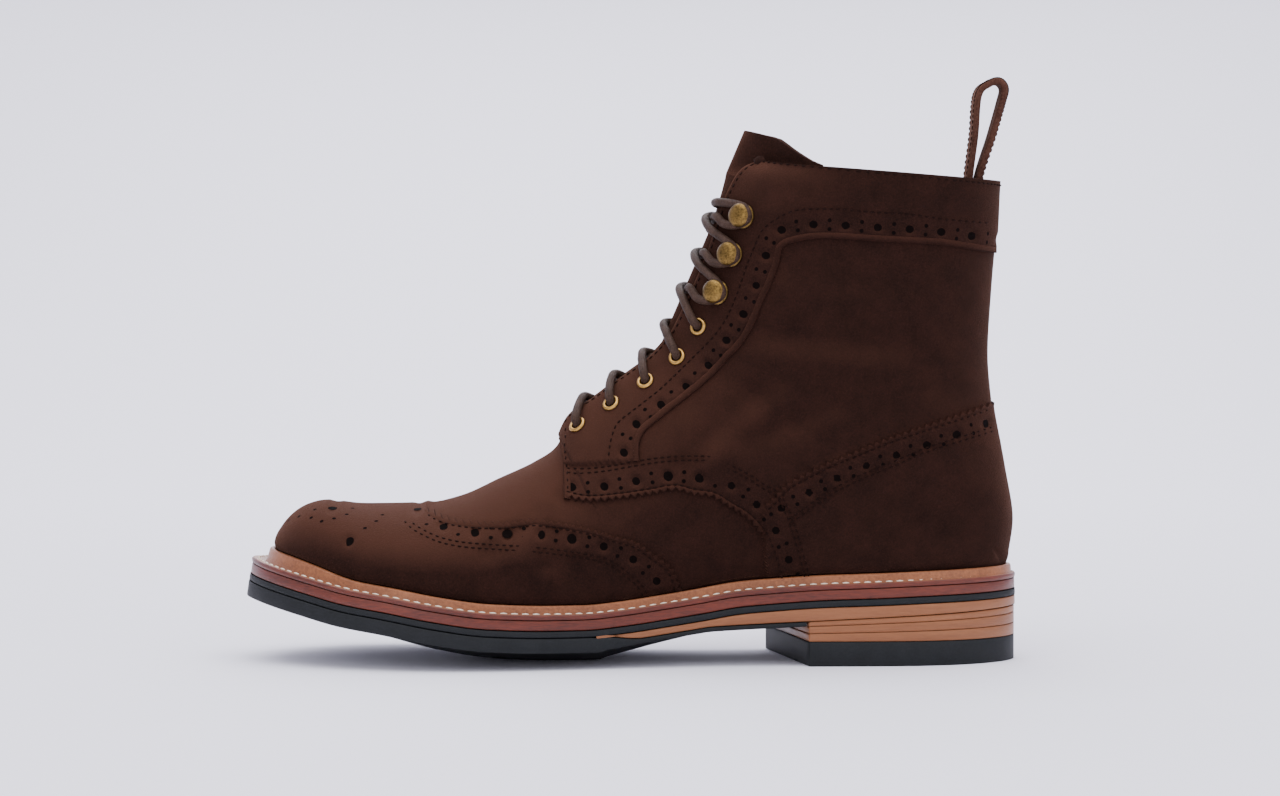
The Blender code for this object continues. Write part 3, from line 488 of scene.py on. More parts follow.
def skin(side, row, part):
    """The upper's outer surface: part 0 at the ridge or facing edge, 1 at the base."""
    ridge, base, wide, end = section(side, row)
    belly = row_value("belly", row)
    top = 2 / row_value("top", row)
    low = 2 / row_value("low", row)
    gap = throat_gap(row)
    start = angle_at(row, wide, gap)
    lead = belly * (1 - math.cos(start) ** top)
    ridge = (ridge - base * lead) / (1 - lead)
    turned = start + (math.pi - start) * part
    if turned <= math.pi / 2:
        down = belly * (1 - math.cos(turned) ** top)
        out = wide * math.sin(turned) ** top
    else:
        back = turned - math.pi / 2
        down = belly + (1 - belly) * math.sin(back) ** low
        out = end + (wide - end) * max(0.0, math.cos(back)) ** (low * (1 + end / max(end + TUCK, wide)))
    point = ridge.lerp(base, down)
    foot = feather_at(side, point.x)
    spread = FOOT_SPREAD * max(0.0, point.z - foot.z - FOOT_BAND, point.x - HEEL_TIP + HEEL_FREE)
    out = min(out, max(0.0, side * (foot.y - centre(row))) + spread)
    point.y = centre(row) + side * out
    return point


def skin_normal(side, row, part):
    step = 0.02
    a = skin(side, row, min(1.0, part + step)) - skin(side, row, max(0.0, part - step))
    b = skin(side, min(TONGUE_ROW, row + step), part) - skin(side, max(TOE_ROW, row - step), part)
    out = b.cross(a) * side
    return out.normalized()


def across_skin(side, row, half):
    """A point of the closed section, with no throat, half away from the middle."""
    ridge, base, wide, _ = section(side, row)
    belly = row_value("belly", row)
    top = 2 / row_value("top", row)
    gap = throat_gap(row)
    lead = belly * (1 - math.cos(angle_at(row, wide, gap)) ** top)
    ridge = (ridge - base * lead) / (1 - lead)
    reach = angle_at(row, wide, min(half, 0.98 * wide))
    point = ridge.lerp(base, belly * (1 - math.cos(reach) ** top))
    point.y = centre(row) + side * min(half, 0.98 * wide)
    return point


def facing_row(distance):
    """The section row whose facing edge lies this far along it from the throat."""
    row = THROAT_ROW
    step = 0.02
    walked = 0.0
    last = skin(-1, row, 0.0)
    while walked < distance and row < COLLAR_ROW:
        row += step
        point = skin(-1, row, 0.0)
        walked += (point - last).length
        last = point
    return row


def facing_seat(side, distance, setback, lift):
    """Centre and outward normal of a fitting set back from the facing edge."""
    row = facing_row(distance)
    rim = skin(side, row, 0.0)
    part = 0.0
    while (skin(side, row, part) - rim).length < setback:
        part += 0.002
    normal = skin_normal(side, row, part)
    return skin(side, row, part) + normal * lift, normal


def levels():
    return [FIRST_EYELET + EYELET_PITCH * i for i in range(EYELETS + HOOKS)]


def smooth_route(points, per_leg):
    """A Catmull-Rom curve through the points."""
    route = []
    for i in range(len(points) - 1):
        a, b = points[max(0, i - 1)], points[i]
        c, d = points[i + 1], points[min(len(points) - 1, i + 2)]
        for n in range(per_leg):
            t = n / per_leg
            route.append(
                0.5 * ((2 * b) + (c - a) * t + (2 * a - 5 * b + 4 * c - d) * t ** 2
                       + (3 * b - a - 3 * c + d) * t ** 3)
            )
    route.append(points[-1])
    return route


def fitting_seat(side, row, setback, lift):
    """A point set back from the facing edge at one row, with its outward normal."""
    rim = skin(side, row, 0.0)
    part = 0.0
    while (skin(side, row, part) - rim).length < setback:
        part += 0.004
    normal = skin_normal(side, row, part)
    return skin(side, row, part) + normal * lift, normal


# The last's grid: one dense sheet for each half of the upper

GRID = 0.95
GRID_COLUMNS = 112
EASE_TURNS = 90
SIDES = ((-1, "lateral"), (1, "medial"))


def grid_rows():
    """Rows close enough that neighbouring ones lie about GRID apart at their widest."""
    rows = []
    for first in range(COLLAR_ROW):
        reach = 0.0
        for part in (0.0, 0.5, 1.0):
            reach = max(reach, (skin(-1, first + 1, part) - skin(-1, first, part)).length)
        count = max(2, math.ceil(reach / GRID))
        rows += [first + i / count for i in range(count)]
    return rows + [COLLAR_ROW]


def section_line(side, row, count):
    """One section's points from ridge to base, as skin() gives them, with its values read once."""
    ridge, base, wide, end = section(side, row)
    belly = row_value("belly", row)
    top = 2 / row_value("top", row)
    low = 2 / row_value("low", row)
    middle = centre(row)
    start = angle_at(row, wide, throat_gap(row))
    lead = belly * (1 - math.cos(start) ** top)
    ridge = (ridge - base * lead) / (1 - lead)
    points = []
    for i in range(count + 1):
        turned = start + (math.pi - start) * i / count
        if turned <= math.pi / 2:
            down = belly * (1 - math.cos(turned) ** top)
            out = wide * math.sin(turned) ** top
        else:
            back = turned - math.pi / 2
            down = belly + (1 - belly) * math.sin(back) ** low
            fall = low * (1 + end / max(end + TUCK, wide))
            out = end + (wide - end) * max(0.0, math.cos(back)) ** fall
        point = ridge.lerp(base, down)
        foot = feather_at(side, point.x)
        spread = FOOT_SPREAD * max(0.0, point.z - foot.z - FOOT_BAND, point.x - HEEL_TIP + HEEL_FREE)
        out = min(out, max(0.0, side * (foot.y - middle)) + spread)
        point.y = middle + side * out
        points.append(point)
    return points


def eased(points):
    """The heel's foot and the collar's front corner, smoothed as the leather is over the last."""
    points = points.copy()
    for _ in range(EASE_TURNS):
        x, z = points[1:-1, 1:-1, 0], points[1:-1, 1:-1, 2]
        heel = np.clip((x + 10) / 15, 0, 1) * np.clip((85 - z) / 15, 0, 1)
        corner = np.clip((-45 - x) / 10, 0, 1) * np.clip((z - 176) / 8, 0, 1)
        around = (points[2:, 1:-1] + points[:-2, 1:-1] + points[1:-1, 2:] + points[1:-1, :-2]) / 4
        points[1:-1, 1:-1] += np.maximum(heel, corner)[..., None] * 0.8 * (around - points[1:-1, 1:-1])
    return points


def half_grid(side):
    lines = [section_line(side, row, GRID_COLUMNS) for row in grid_rows()]
    return eased(np.array([[tuple(p) for p in line] for line in lines]))


def grid_normals(points, side):
    """Outward normals of a grid, from its own differences."""
    down = np.gradient(points, axis=1)
    ahead = np.gradient(points, axis=0)
    normal = np.cross(ahead, down) * side
    normal[..., 1] *= np.abs(points[..., 1]) > 0.02
    length = np.linalg.norm(normal, axis=2, keepdims=True)
    return normal / np.maximum(length, 1e-9)


def grid_tree(points):
    rows, columns, _ = points.shape
    verts = [Vector(p) for p in points.reshape(-1, 3)]
    faces = []
    for r in range(rows - 1):
        for c in range(columns - 1):
            a = r * columns + c
            faces.append((a, a + 1, a + columns + 1, a + columns))
    return BVHTree.FromPolygons(verts, faces)


GRIDS = {side: half_grid(side) for side, _ in SIDES}
NORMALS = {side: grid_normals(GRIDS[side], side) for side, _ in SIDES}
TREES = {side: grid_tree(GRIDS[side]) for side, _ in SIDES}


# Pattern lines, seen from the side: share along the feather line from heel to toe, and share of
# UPPER_HEIGHT above it

WING_EDGE = table(
    "along height",
    (0.725, 0.262), (0.750, 0.229), (0.771, 0.207), (0.785, 0.197), (0.759, 0.190), (0.730, 0.191),
    (0.687, 0.197), (0.633, 0.208), (0.569, 0.192), (0.535, 0.171), (0.504, 0.151), (0.475, 0.110),
    (0.453, 0.075), (0.441, 0.012),
)
WING_INNER = table(
    "along height",
    (0.790, 0.245), (0.812, 0.205), (0.819, 0.180), (0.807, 0.161), (0.789, 0.152), (0.766, 0.145),
    (0.738, 0.144), (0.709, 0.147), (0.653, 0.148), (0.606, 0.142), (0.569, 0.133), (0.539, 0.115),
    (0.514, 0.080), (0.496, 0.048), (0.487, 0.012),
)
WING_HOLES = table(
    "along height",
    (0.768, 0.242), (0.788, 0.214), (0.802, 0.188), (0.778, 0.172), (0.735, 0.168), (0.692, 0.172),
    (0.649, 0.176), (0.606, 0.171), (0.559, 0.155), (0.512, 0.115), (0.479, 0.058), (0.466, 0.020),
)
QUARTER_EDGE = table(
    "along height",
    (0.601, 0.251), (0.569, 0.244), (0.526, 0.244), (0.483, 0.245), (0.453, 0.246), (0.428, 0.230),
    (0.402, 0.216), (0.381, 0.189), (0.359, 0.162), (0.342, 0.130), (0.330, 0.092), (0.319, 0.034),
    (0.316, 0.012),
)
QUARTER_INNER = table(
    "along height",
    (0.598, 0.306), (0.569, 0.308), (0.541, 0.310), (0.492, 0.315), (0.461, 0.314), (0.428, 0.308),
    (0.402, 0.298), (0.377, 0.272), (0.351, 0.245), (0.334, 0.222), (0.316, 0.204), (0.299, 0.146),
    (0.283, 0.059), (0.276, 0.012),
)
QUARTER_HOLES = table(
    "along height",
    (0.590, 0.277), (0.558, 0.277), (0.513, 0.281), (0.463, 0.282), (0.412, 0.262), (0.366, 0.228),
    (0.342, 0.188), (0.322, 0.145), (0.302, 0.074), (0.292, 0.025),
)
COUNTER_EDGE = table(
    "along height",
    (0.334, 0.186), (0.320, 0.205), (0.304, 0.231), (0.277, 0.252), (0.248, 0.274), (0.222, 0.290),
    (0.183, 0.315), (0.162, 0.327), (0.118, 0.348), (0.075, 0.367), (0.030, 0.386), (0.004, 0.394),
)
COUNTER_INNER = table(
    "along height",
    (0.298, 0.141), (0.277, 0.161), (0.248, 0.194), (0.205, 0.229), (0.162, 0.256), (0.118, 0.284),
    (0.075, 0.303), (0.030, 0.319), (0.004, 0.326),
)
COUNTER_HOLES = table(
    "along height",
    (0.309, 0.176), (0.288, 0.193), (0.248, 0.225), (0.207, 0.253), (0.166, 0.276), (0.125, 0.296),
    (0.088, 0.313), (0.052, 0.331), (0.012, 0.348),
)
BAND_OUTER = table(
    "along height",
    (0.541, 0.322), (0.538, 0.365), (0.529, 0.405), (0.510, 0.428), (0.486, 0.453), (0.469, 0.471),
    (0.441, 0.508), (0.422, 0.535), (0.400, 0.566), (0.383, 0.599), (0.372, 0.632), (0.361, 0.677),
    (0.350, 0.729), (0.342, 0.759), (0.332, 0.795), (0.313, 0.819), (0.294, 0.832), (0.276, 0.835),
    (0.232, 0.833), (0.188, 0.824), (0.139, 0.817), (0.091, 0.803), (0.030, 0.792), (0.004, 0.786),
)
BAND_INNER = table(
    "along height",
    (0.499, 0.322), (0.499, 0.358), (0.491, 0.385), (0.469, 0.410), (0.428, 0.452), (0.398, 0.486),
    (0.378, 0.518), (0.361, 0.543), (0.345, 0.583), (0.332, 0.634), (0.318, 0.684), (0.309, 0.727),
    (0.306, 0.752), (0.294, 0.763), (0.266, 0.769), (0.232, 0.767), (0.188, 0.760), (0.139, 0.753),
    (0.091, 0.745), (0.030, 0.727), (0.004, 0.722),
)
BAND_HOLES = table(
    "along height",
    (0.520, 0.345), (0.515, 0.380), (0.490, 0.419), (0.449, 0.455), (0.415, 0.493), (0.388, 0.543),
    (0.363, 0.599), (0.343, 0.663), (0.329, 0.732), (0.316, 0.785), (0.285, 0.800), (0.254, 0.800),
    (0.208, 0.794), (0.162, 0.787), (0.116, 0.780), (0.074, 0.769), (0.012, 0.754),
)
MEDALLION_LARGE = table("along height", (0.889, 0.100), (0.918, 0.149))
MEDALLION_SMALL = table(
    "along height",
    (0.977, 0.090), (0.962, 0.106), (0.944, 0.114), (0.929, 0.116), (0.913, 0.131), (0.897, 0.147),
    (0.941, 0.131), (0.891, 0.160), (0.848, 0.162), (0.855, 0.149), (0.869, 0.132),
)

TEETH = 2.9
TOOTH = 1.5
EDGE_STITCH = 1.2
LARGE_HOLE = 2.2
SMALL_HOLE = 0.85
HOLE_PITCH = 12.2
HOLE_DENT = 0.7
STITCH_PITCH = 2.6
STITCH_LENGTH = 1.9
STITCH_RADIUS = 0.36


def side_point(share, height):
    x = along(share)
    return x, feather_at(-1, min(HEEL_TIP, max(TOE_TIP, x))).z + height * UPPER_HEIGHT


def smooth_line(line, pitch, sharp=()):
    """Points every pitch along a line drawn smoothly through a table, sharp at the rows named."""
    knots = [Vector(side_point(a, h)) for a, h in zip(line["along"], line["height"])]
    fine = []
    last = len(knots) - 1
    for i in range(last):
        before = knots[i] if i in sharp or i == 0 else knots[i - 1]
        after = knots[i + 1] if i + 1 in sharp or i + 1 == last else knots[i + 2]
        a, b = knots[i], knots[i + 1]
        for n in range(12):
            t = n / 12
            fine.append(0.5 * (2 * a + (b - before) * t + (2 * before - 5 * a + 4 * b - after) * t ** 2
                               + (3 * a - before - 3 * b + after) * t ** 3))
    fine.append(knots[-1])
    return respace(fine, pitch)


def respace(points, pitch):
    """The same line with points every pitch, ends kept."""
    travel = [0.0]
    for a, b in zip(points, points[1:]):
        travel.append(travel[-1] + (b - a).length)
    count = max(1, round(travel[-1] / pitch))
    spaced = []
    i = 0
    for n in range(count + 1):
        at = travel[-1] * n / count
        while i < len(points) - 2 and travel[i + 1] < at:
            i += 1
        span = max(1e-9, travel[i + 1] - travel[i])
        spaced.append(points[i].lerp(points[i + 1], min(1.0, (at - travel[i]) / span)))
    return spaced


def shifted(points, distance):
    """A line moved to its left by distance, in the side view."""
    moved = []
    for i, point in enumerate(points):
        ahead = points[min(len(points) - 1, i + 1)] - points[max(0, i - 1)]
        ahead.normalize()
        moved.append(point + Vector((-ahead.y, ahead.x)) * distance)
    return moved


def seat(side, x, z):
    """Where the side view's point lies on the last, and its normal."""
    hit, normal, _, _ = TREES[side].ray_cast(Vector((x, side * 150, z)), Vector((0, -side, 0)))
    if hit is None:
        return None
    if normal.y * side < 0:
        normal = -normal
    return hit, normal


def seats(side, points, lift):
    """A side-view line laid on the last and lifted off it, without the points that miss it."""
    laid = [seat(side, p.x, p.y) for p in points]
    return [(hit + normal * lift, normal) for hit, normal in [item for item in laid if item]]


# Relief of the upper: panels, holes and creases

PANELS = (
    (WING_EDGE, WING_RAISE, -1, (3,)),
    (QUARTER_EDGE, QUARTER_RAISE, 1, ()),
    (COUNTER_EDGE, COUNTER_RAISE, 1, ()),
    (BAND_INNER, EYESTAY_RAISE, 1, ()),
)
HOLE_LINES = ((WING_HOLES, (2,)), (QUARTER_HOLES, ()), (COUNTER_HOLES, ()), (BAND_HOLES, ()))

# Creases: from and to in the side view's shares, depth and half-width in millimetres
CREASES = (
    ((0.700, 0.130), (0.640, 0.215), -0.7, 4.0),
    ((0.660, 0.120), (0.625, 0.245), 0.6, 4.5),
    ((0.625, 0.110), (0.610, 0.250), -0.8, 4.0),
    ((0.560, 0.040), (0.600, 0.130), -0.5, 5.0),
    ((0.440, 0.300), (0.350, 0.430), -0.9, 5.5),
    ((0.400, 0.300), (0.310, 0.400), 0.8, 5.5),
    ((0.360, 0.330), (0.240, 0.400), -0.9, 5.5),
    ((0.330, 0.520), (0.180, 0.470), 0.7, 7.0),
    ((0.320, 0.560), (0.150, 0.530), -0.8, 7.0),
    ((0.300, 0.640), (0.120, 0.600), 0.5, 8.0),
)


def line_distance(xs, zs, points):
    """Distance of many side-view points from a line, with where along it they are nearest."""
    best = np.full(xs.shape, 1e9)
    for a, b in zip(points, points[1:]):
        dx, dz = b[0] - a[0], b[1] - a[1]
        t = np.clip(((xs - a[0]) * dx + (zs - a[1]) * dz) / max(1e-9, dx * dx + dz * dz), 0, 1)
        best = np.minimum(best, np.hypot(xs - a[0] - t * dx, zs - a[1] - t * dz))
    return best


def inside(xs, zs, points):
    """Which side-view points lie in a closed outline."""
    within = np.zeros(xs.shape, dtype=bool)
    for a, b in zip(points, points[1:] + points[:1]):
        crosses = (a[1] > zs) != (b[1] > zs)
        at = (b[0] - a[0]) * (zs - a[1]) / (b[1] - a[1] + 1e-12) + a[0]
        within ^= crosses & (xs < at)
    return within


def panel_outline(line, sharp):
    """The closed outline of a panel: its edge line, and round by the part of the boot it covers."""
    edge_line = [tuple(p) for p in smooth_line(line, 2.0, sharp)]
    corners = {
        id(WING_EDGE): [(0.441, -0.3), (1.2, -0.3), (1.2, 0.8), (0.725, 0.8)],
        id(QUARTER_EDGE): [(0.316, -0.3), (-0.3, -0.3), (-0.3, 1.3), (0.601, 1.3)],
        id(COUNTER_EDGE): [(-0.3, 0.394), (-0.3, -0.3), (0.316, -0.3)],
        id(BAND_INNER): [(-0.3, 0.722), (-0.3, 1.4), (0.70, 1.4), (0.60, 0.322)],
    }[id(line)]
    return edge_line + [side_point(a, h) for a, h in corners]


def hole_centres():
    """Large holes and the pairs of small ones between them, as side-view points with a radius."""
    centres = []
    for line, sharp in HOLE_LINES:
        points = smooth_line(line, HOLE_PITCH / 2, sharp)
        pairs = [shifted(points, 1.7), shifted(points, -1.7)]
        for i, point in enumerate(points):
            if i % 2 == 0:
                centres.append((point, LARGE_HOLE))
            else:
                centres += [(pair[i], SMALL_HOLE) for pair in pairs]
    for table_rows, radius in ((MEDALLION_LARGE, LARGE_HOLE), (MEDALLION_SMALL, SMALL_HOLE)):
        for a, h in zip(table_rows["along"], table_rows["height"]):
            centres.append((Vector(side_point(a, h)), radius))
    return centres


HOLES = hole_centres()


def panel_lift(xs, zs):
    """How far the overlays raise the surface; each starts just inside its edge strip."""
    lift = np.zeros(xs.shape)
    for line, rise, _, sharp in PANELS:
        outline_points = panel_outline(line, sharp)
        depth = line_distance(xs, zs, [tuple(p) for p in smooth_line(line, 2.0, sharp)])
        share = np.clip((depth - 0.9) / 1.2, 0, 1)
        raised = rise * share * share * (3 - 2 * share) * inside(xs, zs, outline_points)
        lift = np.maximum(lift, raised)
    return lift


def relief(side):
    """Height of each grid point over the bare last: panels, dents and creases."""
    points = GRIDS[side]
    xs, zs = points[..., 0], points[..., 2]
    height = panel_lift(xs, zs)
    for centre_point, radius in HOLES:
        if radius < LARGE_HOLE:
            continue
        away = np.hypot(xs - centre_point.x, zs - centre_point.y)
        height -= HOLE_DENT * np.clip(1.35 - away / radius, 0, 1)
    for start, end, depth, half in CREASES:
        a, b = side_point(*start), side_point(*end)
        away = line_distance(xs, zs, [a, b])
        height += depth * np.exp(-(away / half) ** 2)
    bases = [section(side, row)[1] for row in grid_rows()]
    low = np.array([base.z for base in bases])[:, None]
    free = np.array([base.z - feather_at(side, base.x).z for base in bases])[:, None]
    grounded = np.clip((zs - low - 3.0) / 3.0, 0, 1)
    return height * np.maximum(grounded, np.clip(free / 6.0, 0, 1))


RELIEF = {side: relief(side) for side, _ in SIDES}


def lift_at(side, x, z):
    """The panels' height at one side-view point."""
    value = panel_lift(np.array([x]), np.array([z]))
    return float(value[0])


# Materials

def linear(code):
    """An sRGB hex colour as linear values."""
    values = [int(code[i:i + 2], 16) / 255 for i in (0, 2, 4)]
    return (*[v / 12.92 if v <= 0.04045 else ((v + 0.055) / 1.055) ** 2.4 for v in values], 1.0)


def add(tree, kind, settings=None, links=None):
    """Adds a node, sets its inputs and properties by name, and links inputs to other sockets."""
    made = tree.nodes.new(kind)
    for name, value in (settings or {}).items():
        if name in made.inputs:
            made.inputs[name].default_value = value
        else:
            setattr(made, name, value)
    for name, socket in (links or {}).items():
        tree.links.new(socket, made.inputs[name])
    return made


def finish(name, colours, roughness, patch_mm, grain_mm, bump_mm, shader=None, streak=None, patchy=0.35,
           lifted=None):
    """A surface mottled between two colours, with a grain of a real size raised on it. When lifted is given, that
    paler colour is mixed in by the vertex attribute written for upward faces: a painted highlight on faces that
    point up.
    """
    made = bpy.data.materials.new(name)
    made.use_nodes = True
    tree = made.node_tree
    body = tree.nodes["Principled BSDF"]
    place = add(tree, "ShaderNodeTexCoord").outputs["Object"]
    if streak:
        place = add(tree, "ShaderNodeMapping", {"Scale": streak}, {"Vector": place}).outputs["Vector"]
    blotch = add(tree, "ShaderNodeTexNoise", {"Scale": 1000 / patch_mm, "Detail": 3.0, "Roughness": 0.6},
                 {"Vector": place})
    grain = add(tree, "ShaderNodeTexNoise", {"Scale": 1000 / grain_mm, "Detail": 4.0, "Roughness": 0.7},
                {"Vector": place})
    share = add(tree, "ShaderNodeMix", {"Factor": patchy}, {"A": grain.outputs["Fac"], "B": blotch.outputs["Fac"]})
    ramp_node = add(tree, "ShaderNodeValToRGB", {}, {"Fac": share.outputs["Result"]})
    ramp_node.color_ramp.elements[0].position = 0.34
    ramp_node.color_ramp.elements[0].color = linear(colours[0])
    ramp_node.color_ramp.elements[1].position = 0.66
    ramp_node.color_ramp.elements[1].color = linear(colours[1])
    colour = ramp_node.outputs["Color"]
    if lifted:
        # Painted highlight: the paler colour mixed in where the surface faces up
        painted_top_light = add(tree, "ShaderNodeAttribute", {"attribute_name": "painted_top_light"}).outputs["Fac"]
        painted_highlight = add(tree, "ShaderNodeMixRGB", {"blend_type": "MIX", "Color2": linear(lifted)},
                   {"Fac": painted_top_light, "Color1": colour})
        colour = painted_highlight.outputs["Color"]
    tree.links.new(colour, body.inputs["Base Color"])
    bump = add(tree, "ShaderNodeBump", {"Strength": 1.0, "Distance": bump_mm * MM},
               {"Height": grain.outputs["Fac"]})
    tree.links.new(bump.outputs["Normal"], body.inputs["Normal"])
    body.inputs["Roughness"].default_value = roughness
    for socket, value in (shader or {}).items():
        body.inputs[socket].default_value = value
    return made


def make_finishes():
    """Every finish of the boot, named for what the real one is."""
    sheen = {"Sheen Weight": 0.25, "Sheen Roughness": 0.4, "Sheen Tint": linear("a8745c"),
             "Specular IOR Level": 0.05}
    waxy = {"Coat Weight": 0.2, "Coat Roughness": 0.35, "Specular IOR Level": 0.25}
    dull = {"Specular IOR Level": 0.05}
    metal = {"Metallic": 1.0}
    return {
        # Brushed suede: a short matte pile, mottled where it has been stroked; the third colour is a painted
        # highlight, mixed in where the suede faces up towards the light above
        "suede": finish("suede_with_painted_top_light", ("170d0a", "2c1913"), 0.95, 11.0, 0.7, 0.35, sheen, None, 0.35, "43291f"),
        # The same hide cut through, at the panels' edges
        "edge": finish("cut_suede_edge", ("1b0f0b", "2f1a13"), 0.95, 6.0, 0.7, 0.3, dull),
        # Punched holes show the darker layer under them, painted near black as painted shade in the holes
        "hole_shade": finish("punched_hole_painted_shade", ("060302", "0c0605"), 0.95, 4.0, 0.8, 0.1, dull),
        # Bonded polyester thread, dark brown
        "thread": finish("brown_thread", ("120806", "20110c"), 0.8, 3.0, 0.5, 0.1, dull),
        # Waxed linen thread, nearly white
        "white_thread": finish("white_thread", ("cbbda6", "efe4d2"), 0.6, 3.0, 0.5, 0.1, dull),
        # Calf lining, brown and smooth
        "lining": finish("calf_lining", ("1e110d", "2f1c15"), 0.7, 20.0, 1.5, 0.1, dull),
        # Bridle leather of welt and rand, with a burnished face
        "welt": finish("burnished_welt_leather", ("6b3c20", "955c37"), 0.42, 18.0, 1.2, 0.12, waxy),
        # Stacked leather cut across its fibres, in fine level lines
        "stack": finish("stacked_leather_edge", ("744527", "8c5835"), 0.45, 9.0, 1.0, 0.12, waxy,
                        (0.2, 0.2, 2.4), 0.6),
        "midsole": finish("red_brown_midsole_edge", ("3a150c", "6b2b19"), 0.4, 12.0, 1.0, 0.1, waxy,
                          (0.25, 0.25, 2.0)),
        # Moulded rubber, dull with a fine texture
        "rubber": finish("moulded_rubber", ("101213", "1b1d1f"), 0.6, 8.0, 0.7, 0.08,
                         {"Specular IOR Level": 0.2}),
        "insole": finish("insole_leather", ("7a5a3c", "9b7a58"), 0.65, 20.0, 1.0, 0.1, dull),
        # Lacquered brass eyelets and antiqued brass hooks
        "brass": finish("lacquered_brass", ("8a6a34", "c49a58"), 0.3, 5.0, 1.0, 0.03, metal),
        "old_brass": finish("antique_brass", ("3c2e17", "866a3a"), 0.34, 4.0, 0.8, 0.04, metal),
        # Strap suede, lighter from being cut on the reverse
        "loop": finish("strap_suede", ("2c1a14", "573a2f"), 0.95, 9.0, 0.8, 0.35, sheen),
        # Waxed round cotton cord, tightly braided
        "lace": finish("waxed_cotton_cord", ("21150f", "4a372d"), 0.6, 3.0, 0.5, 0.3,
                       {"Specular IOR Level": 0.12}),
    }


# Piece helpers

FINISH = make_finishes()
# How strongly upward faces of the suede are painted lighter (painted highlight): the most of the paler colour, and
# its rise with the normal's height
TOP_LIGHT_MOST = 0.7
TOP_LIGHT_REACH = 0.95


def paint_top_light(mesh):
    """Where the leather faces up, its colour is painted lighter, as a painted highlight from the light above."""
    painted_top_light = mesh.attributes.new("painted_top_light", "FLOAT", "POINT")
    for vert in mesh.vertices:
        painted_top_light.data[vert.index].value = min(TOP_LIGHT_MOST, max(0.0, vert.normal.z * TOP_LIGHT_REACH))


def write(name, form, finish_name, replaces=(), smooth=True):
    """Writes a bmesh built in millimetres as a piece on the boot's one body."""
    bmesh.ops.scale(form, vec=(MM, MM, MM), verts=form.verts)
    mesh = bpy.data.meshes.new(name)
    form.to_mesh(mesh)
    form.free()
    if smooth:
        mesh.shade_smooth()
        mesh.set_sharp_from_angle(angle=math.radians(48))
    made = bpy.data.objects.new(name, mesh)
    bpy.context.scene.collection.objects.link(made)
    mesh.materials.append(FINISH[finish_name])
    if finish_name == "suede":
        paint_top_light(mesh)
    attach(made, "root")
    if replaces:
        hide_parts(*replaces)
    return made


def patch(lines, closed=False):
    """A grid through lines of equal count; closed lines come back to their first point."""
    form = bmesh.new()
    across = len(lines[0]) - 1
    bmesh.ops.create_grid(form, x_segments=across, y_segments=len(lines) - 1, size=1.0)
    form.verts.ensure_lookup_table()
    form.faces.index_update()
    flat = [point for line in lines for point in line]
    for vert, point in zip(form.verts, flat):
        vert.co = point
    if closed:
        bmesh.ops.remove_doubles(form, verts=form.verts, dist=0.002)
    return form


def outward(form):
    bmesh.ops.remove_doubles(form, verts=form.verts, dist=0.002)
    bmesh.ops.recalc_face_normals(form, faces=form.faces)
    return form


def capped(lines):
    """A closed tube of rings, with its two ends filled."""
    form = patch([list(line) + [line[0]] for line in lines], closed=True)
    ends = [e for e in form.edges if len(e.link_faces) == 1]
    bmesh.ops.holes_fill(form, edges=ends, sides=0)
    return outward(form)


def make_upper():
    for side, word in SIDES:
        points = GRIDS[side] + NORMALS[side] * RELIEF[side][..., None]
        lines = [[Vector(p) for p in line] for line in points]
        form = patch(lines)
        bmesh.ops.remove_doubles(form, verts=form.verts, dist=0.01)
        bmesh.ops.recalc_face_normals(form, faces=form.faces)
        form.faces.ensure_lookup_table()
        middle = form.faces[len(form.faces) // 2]
        if middle.normal.y * side < 0:
            bmesh.ops.reverse_faces(form, faces=form.faces)
        made = write("upper_" + word, form, "suede", ("upper",))
        made.data.materials.append(FINISH["lining"])
        solid = made.modifiers.new("wall", "SOLIDIFY")
        solid.thickness = WALL * MM
        solid.offset = -1
        solid.material_offset = 1
        solid.material_offset_rim = 0


# Overlay edges, stitches and punched holes

def edge_strip(side, line, rise, turn_side, teeth, sharp):
    """The panel's cut edge: a narrow strip lying on it, toothed where the edge is gimped."""
    points = smooth_line(line, TEETH / 4, sharp)
    widths = (2.6, 2.2, 0.3, 0.0, -0.05)
    lifts = (rise - 0.3, rise + 0.15, rise + 0.35, rise + 0.1, -0.4)
    lines = []
    for width, lift in zip(widths, lifts):
        moved = []
        for i, point in enumerate(shifted(points, turn_side * width)):
            tooth = TOOTH * (abs((i % 4) - 2) / 2) if teeth and width < 1.0 else 0.0
            ahead = points[min(len(points) - 1, i + 1)] - points[max(0, i - 1)]
            ahead.normalize()
            moved.append(point + Vector((-ahead.y, ahead.x)) * turn_side * tooth)
        lines.append([seat(side, p.x, p.y) for p in moved])
    kept = [i for i in range(len(points)) if all(line[i] for line in lines)]
    rows = []
    for line, lift in zip(lines, lifts):
        rows.append([line[i][0] + line[i][1] * lift for i in kept])
    form = patch(rows)
    for face in form.faces:
        face.material_index = 1 if face.index >= 2 * (len(kept) - 1) else 0
    bmesh.ops.recalc_face_normals(form, faces=form.faces)
    form.faces.ensure_lookup_table()
    flat = form.faces[len(form.faces) // 3]
    if flat.normal.y * side < 0:
        bmesh.ops.reverse_faces(form, faces=form.faces)
    return form


def add_form(whole, part):
    """Joins one bmesh into another."""
    mesh = bpy.data.meshes.new("part")
    part.to_mesh(mesh)
    part.free()
    whole.from_mesh(mesh)
    bpy.data.meshes.remove(mesh)


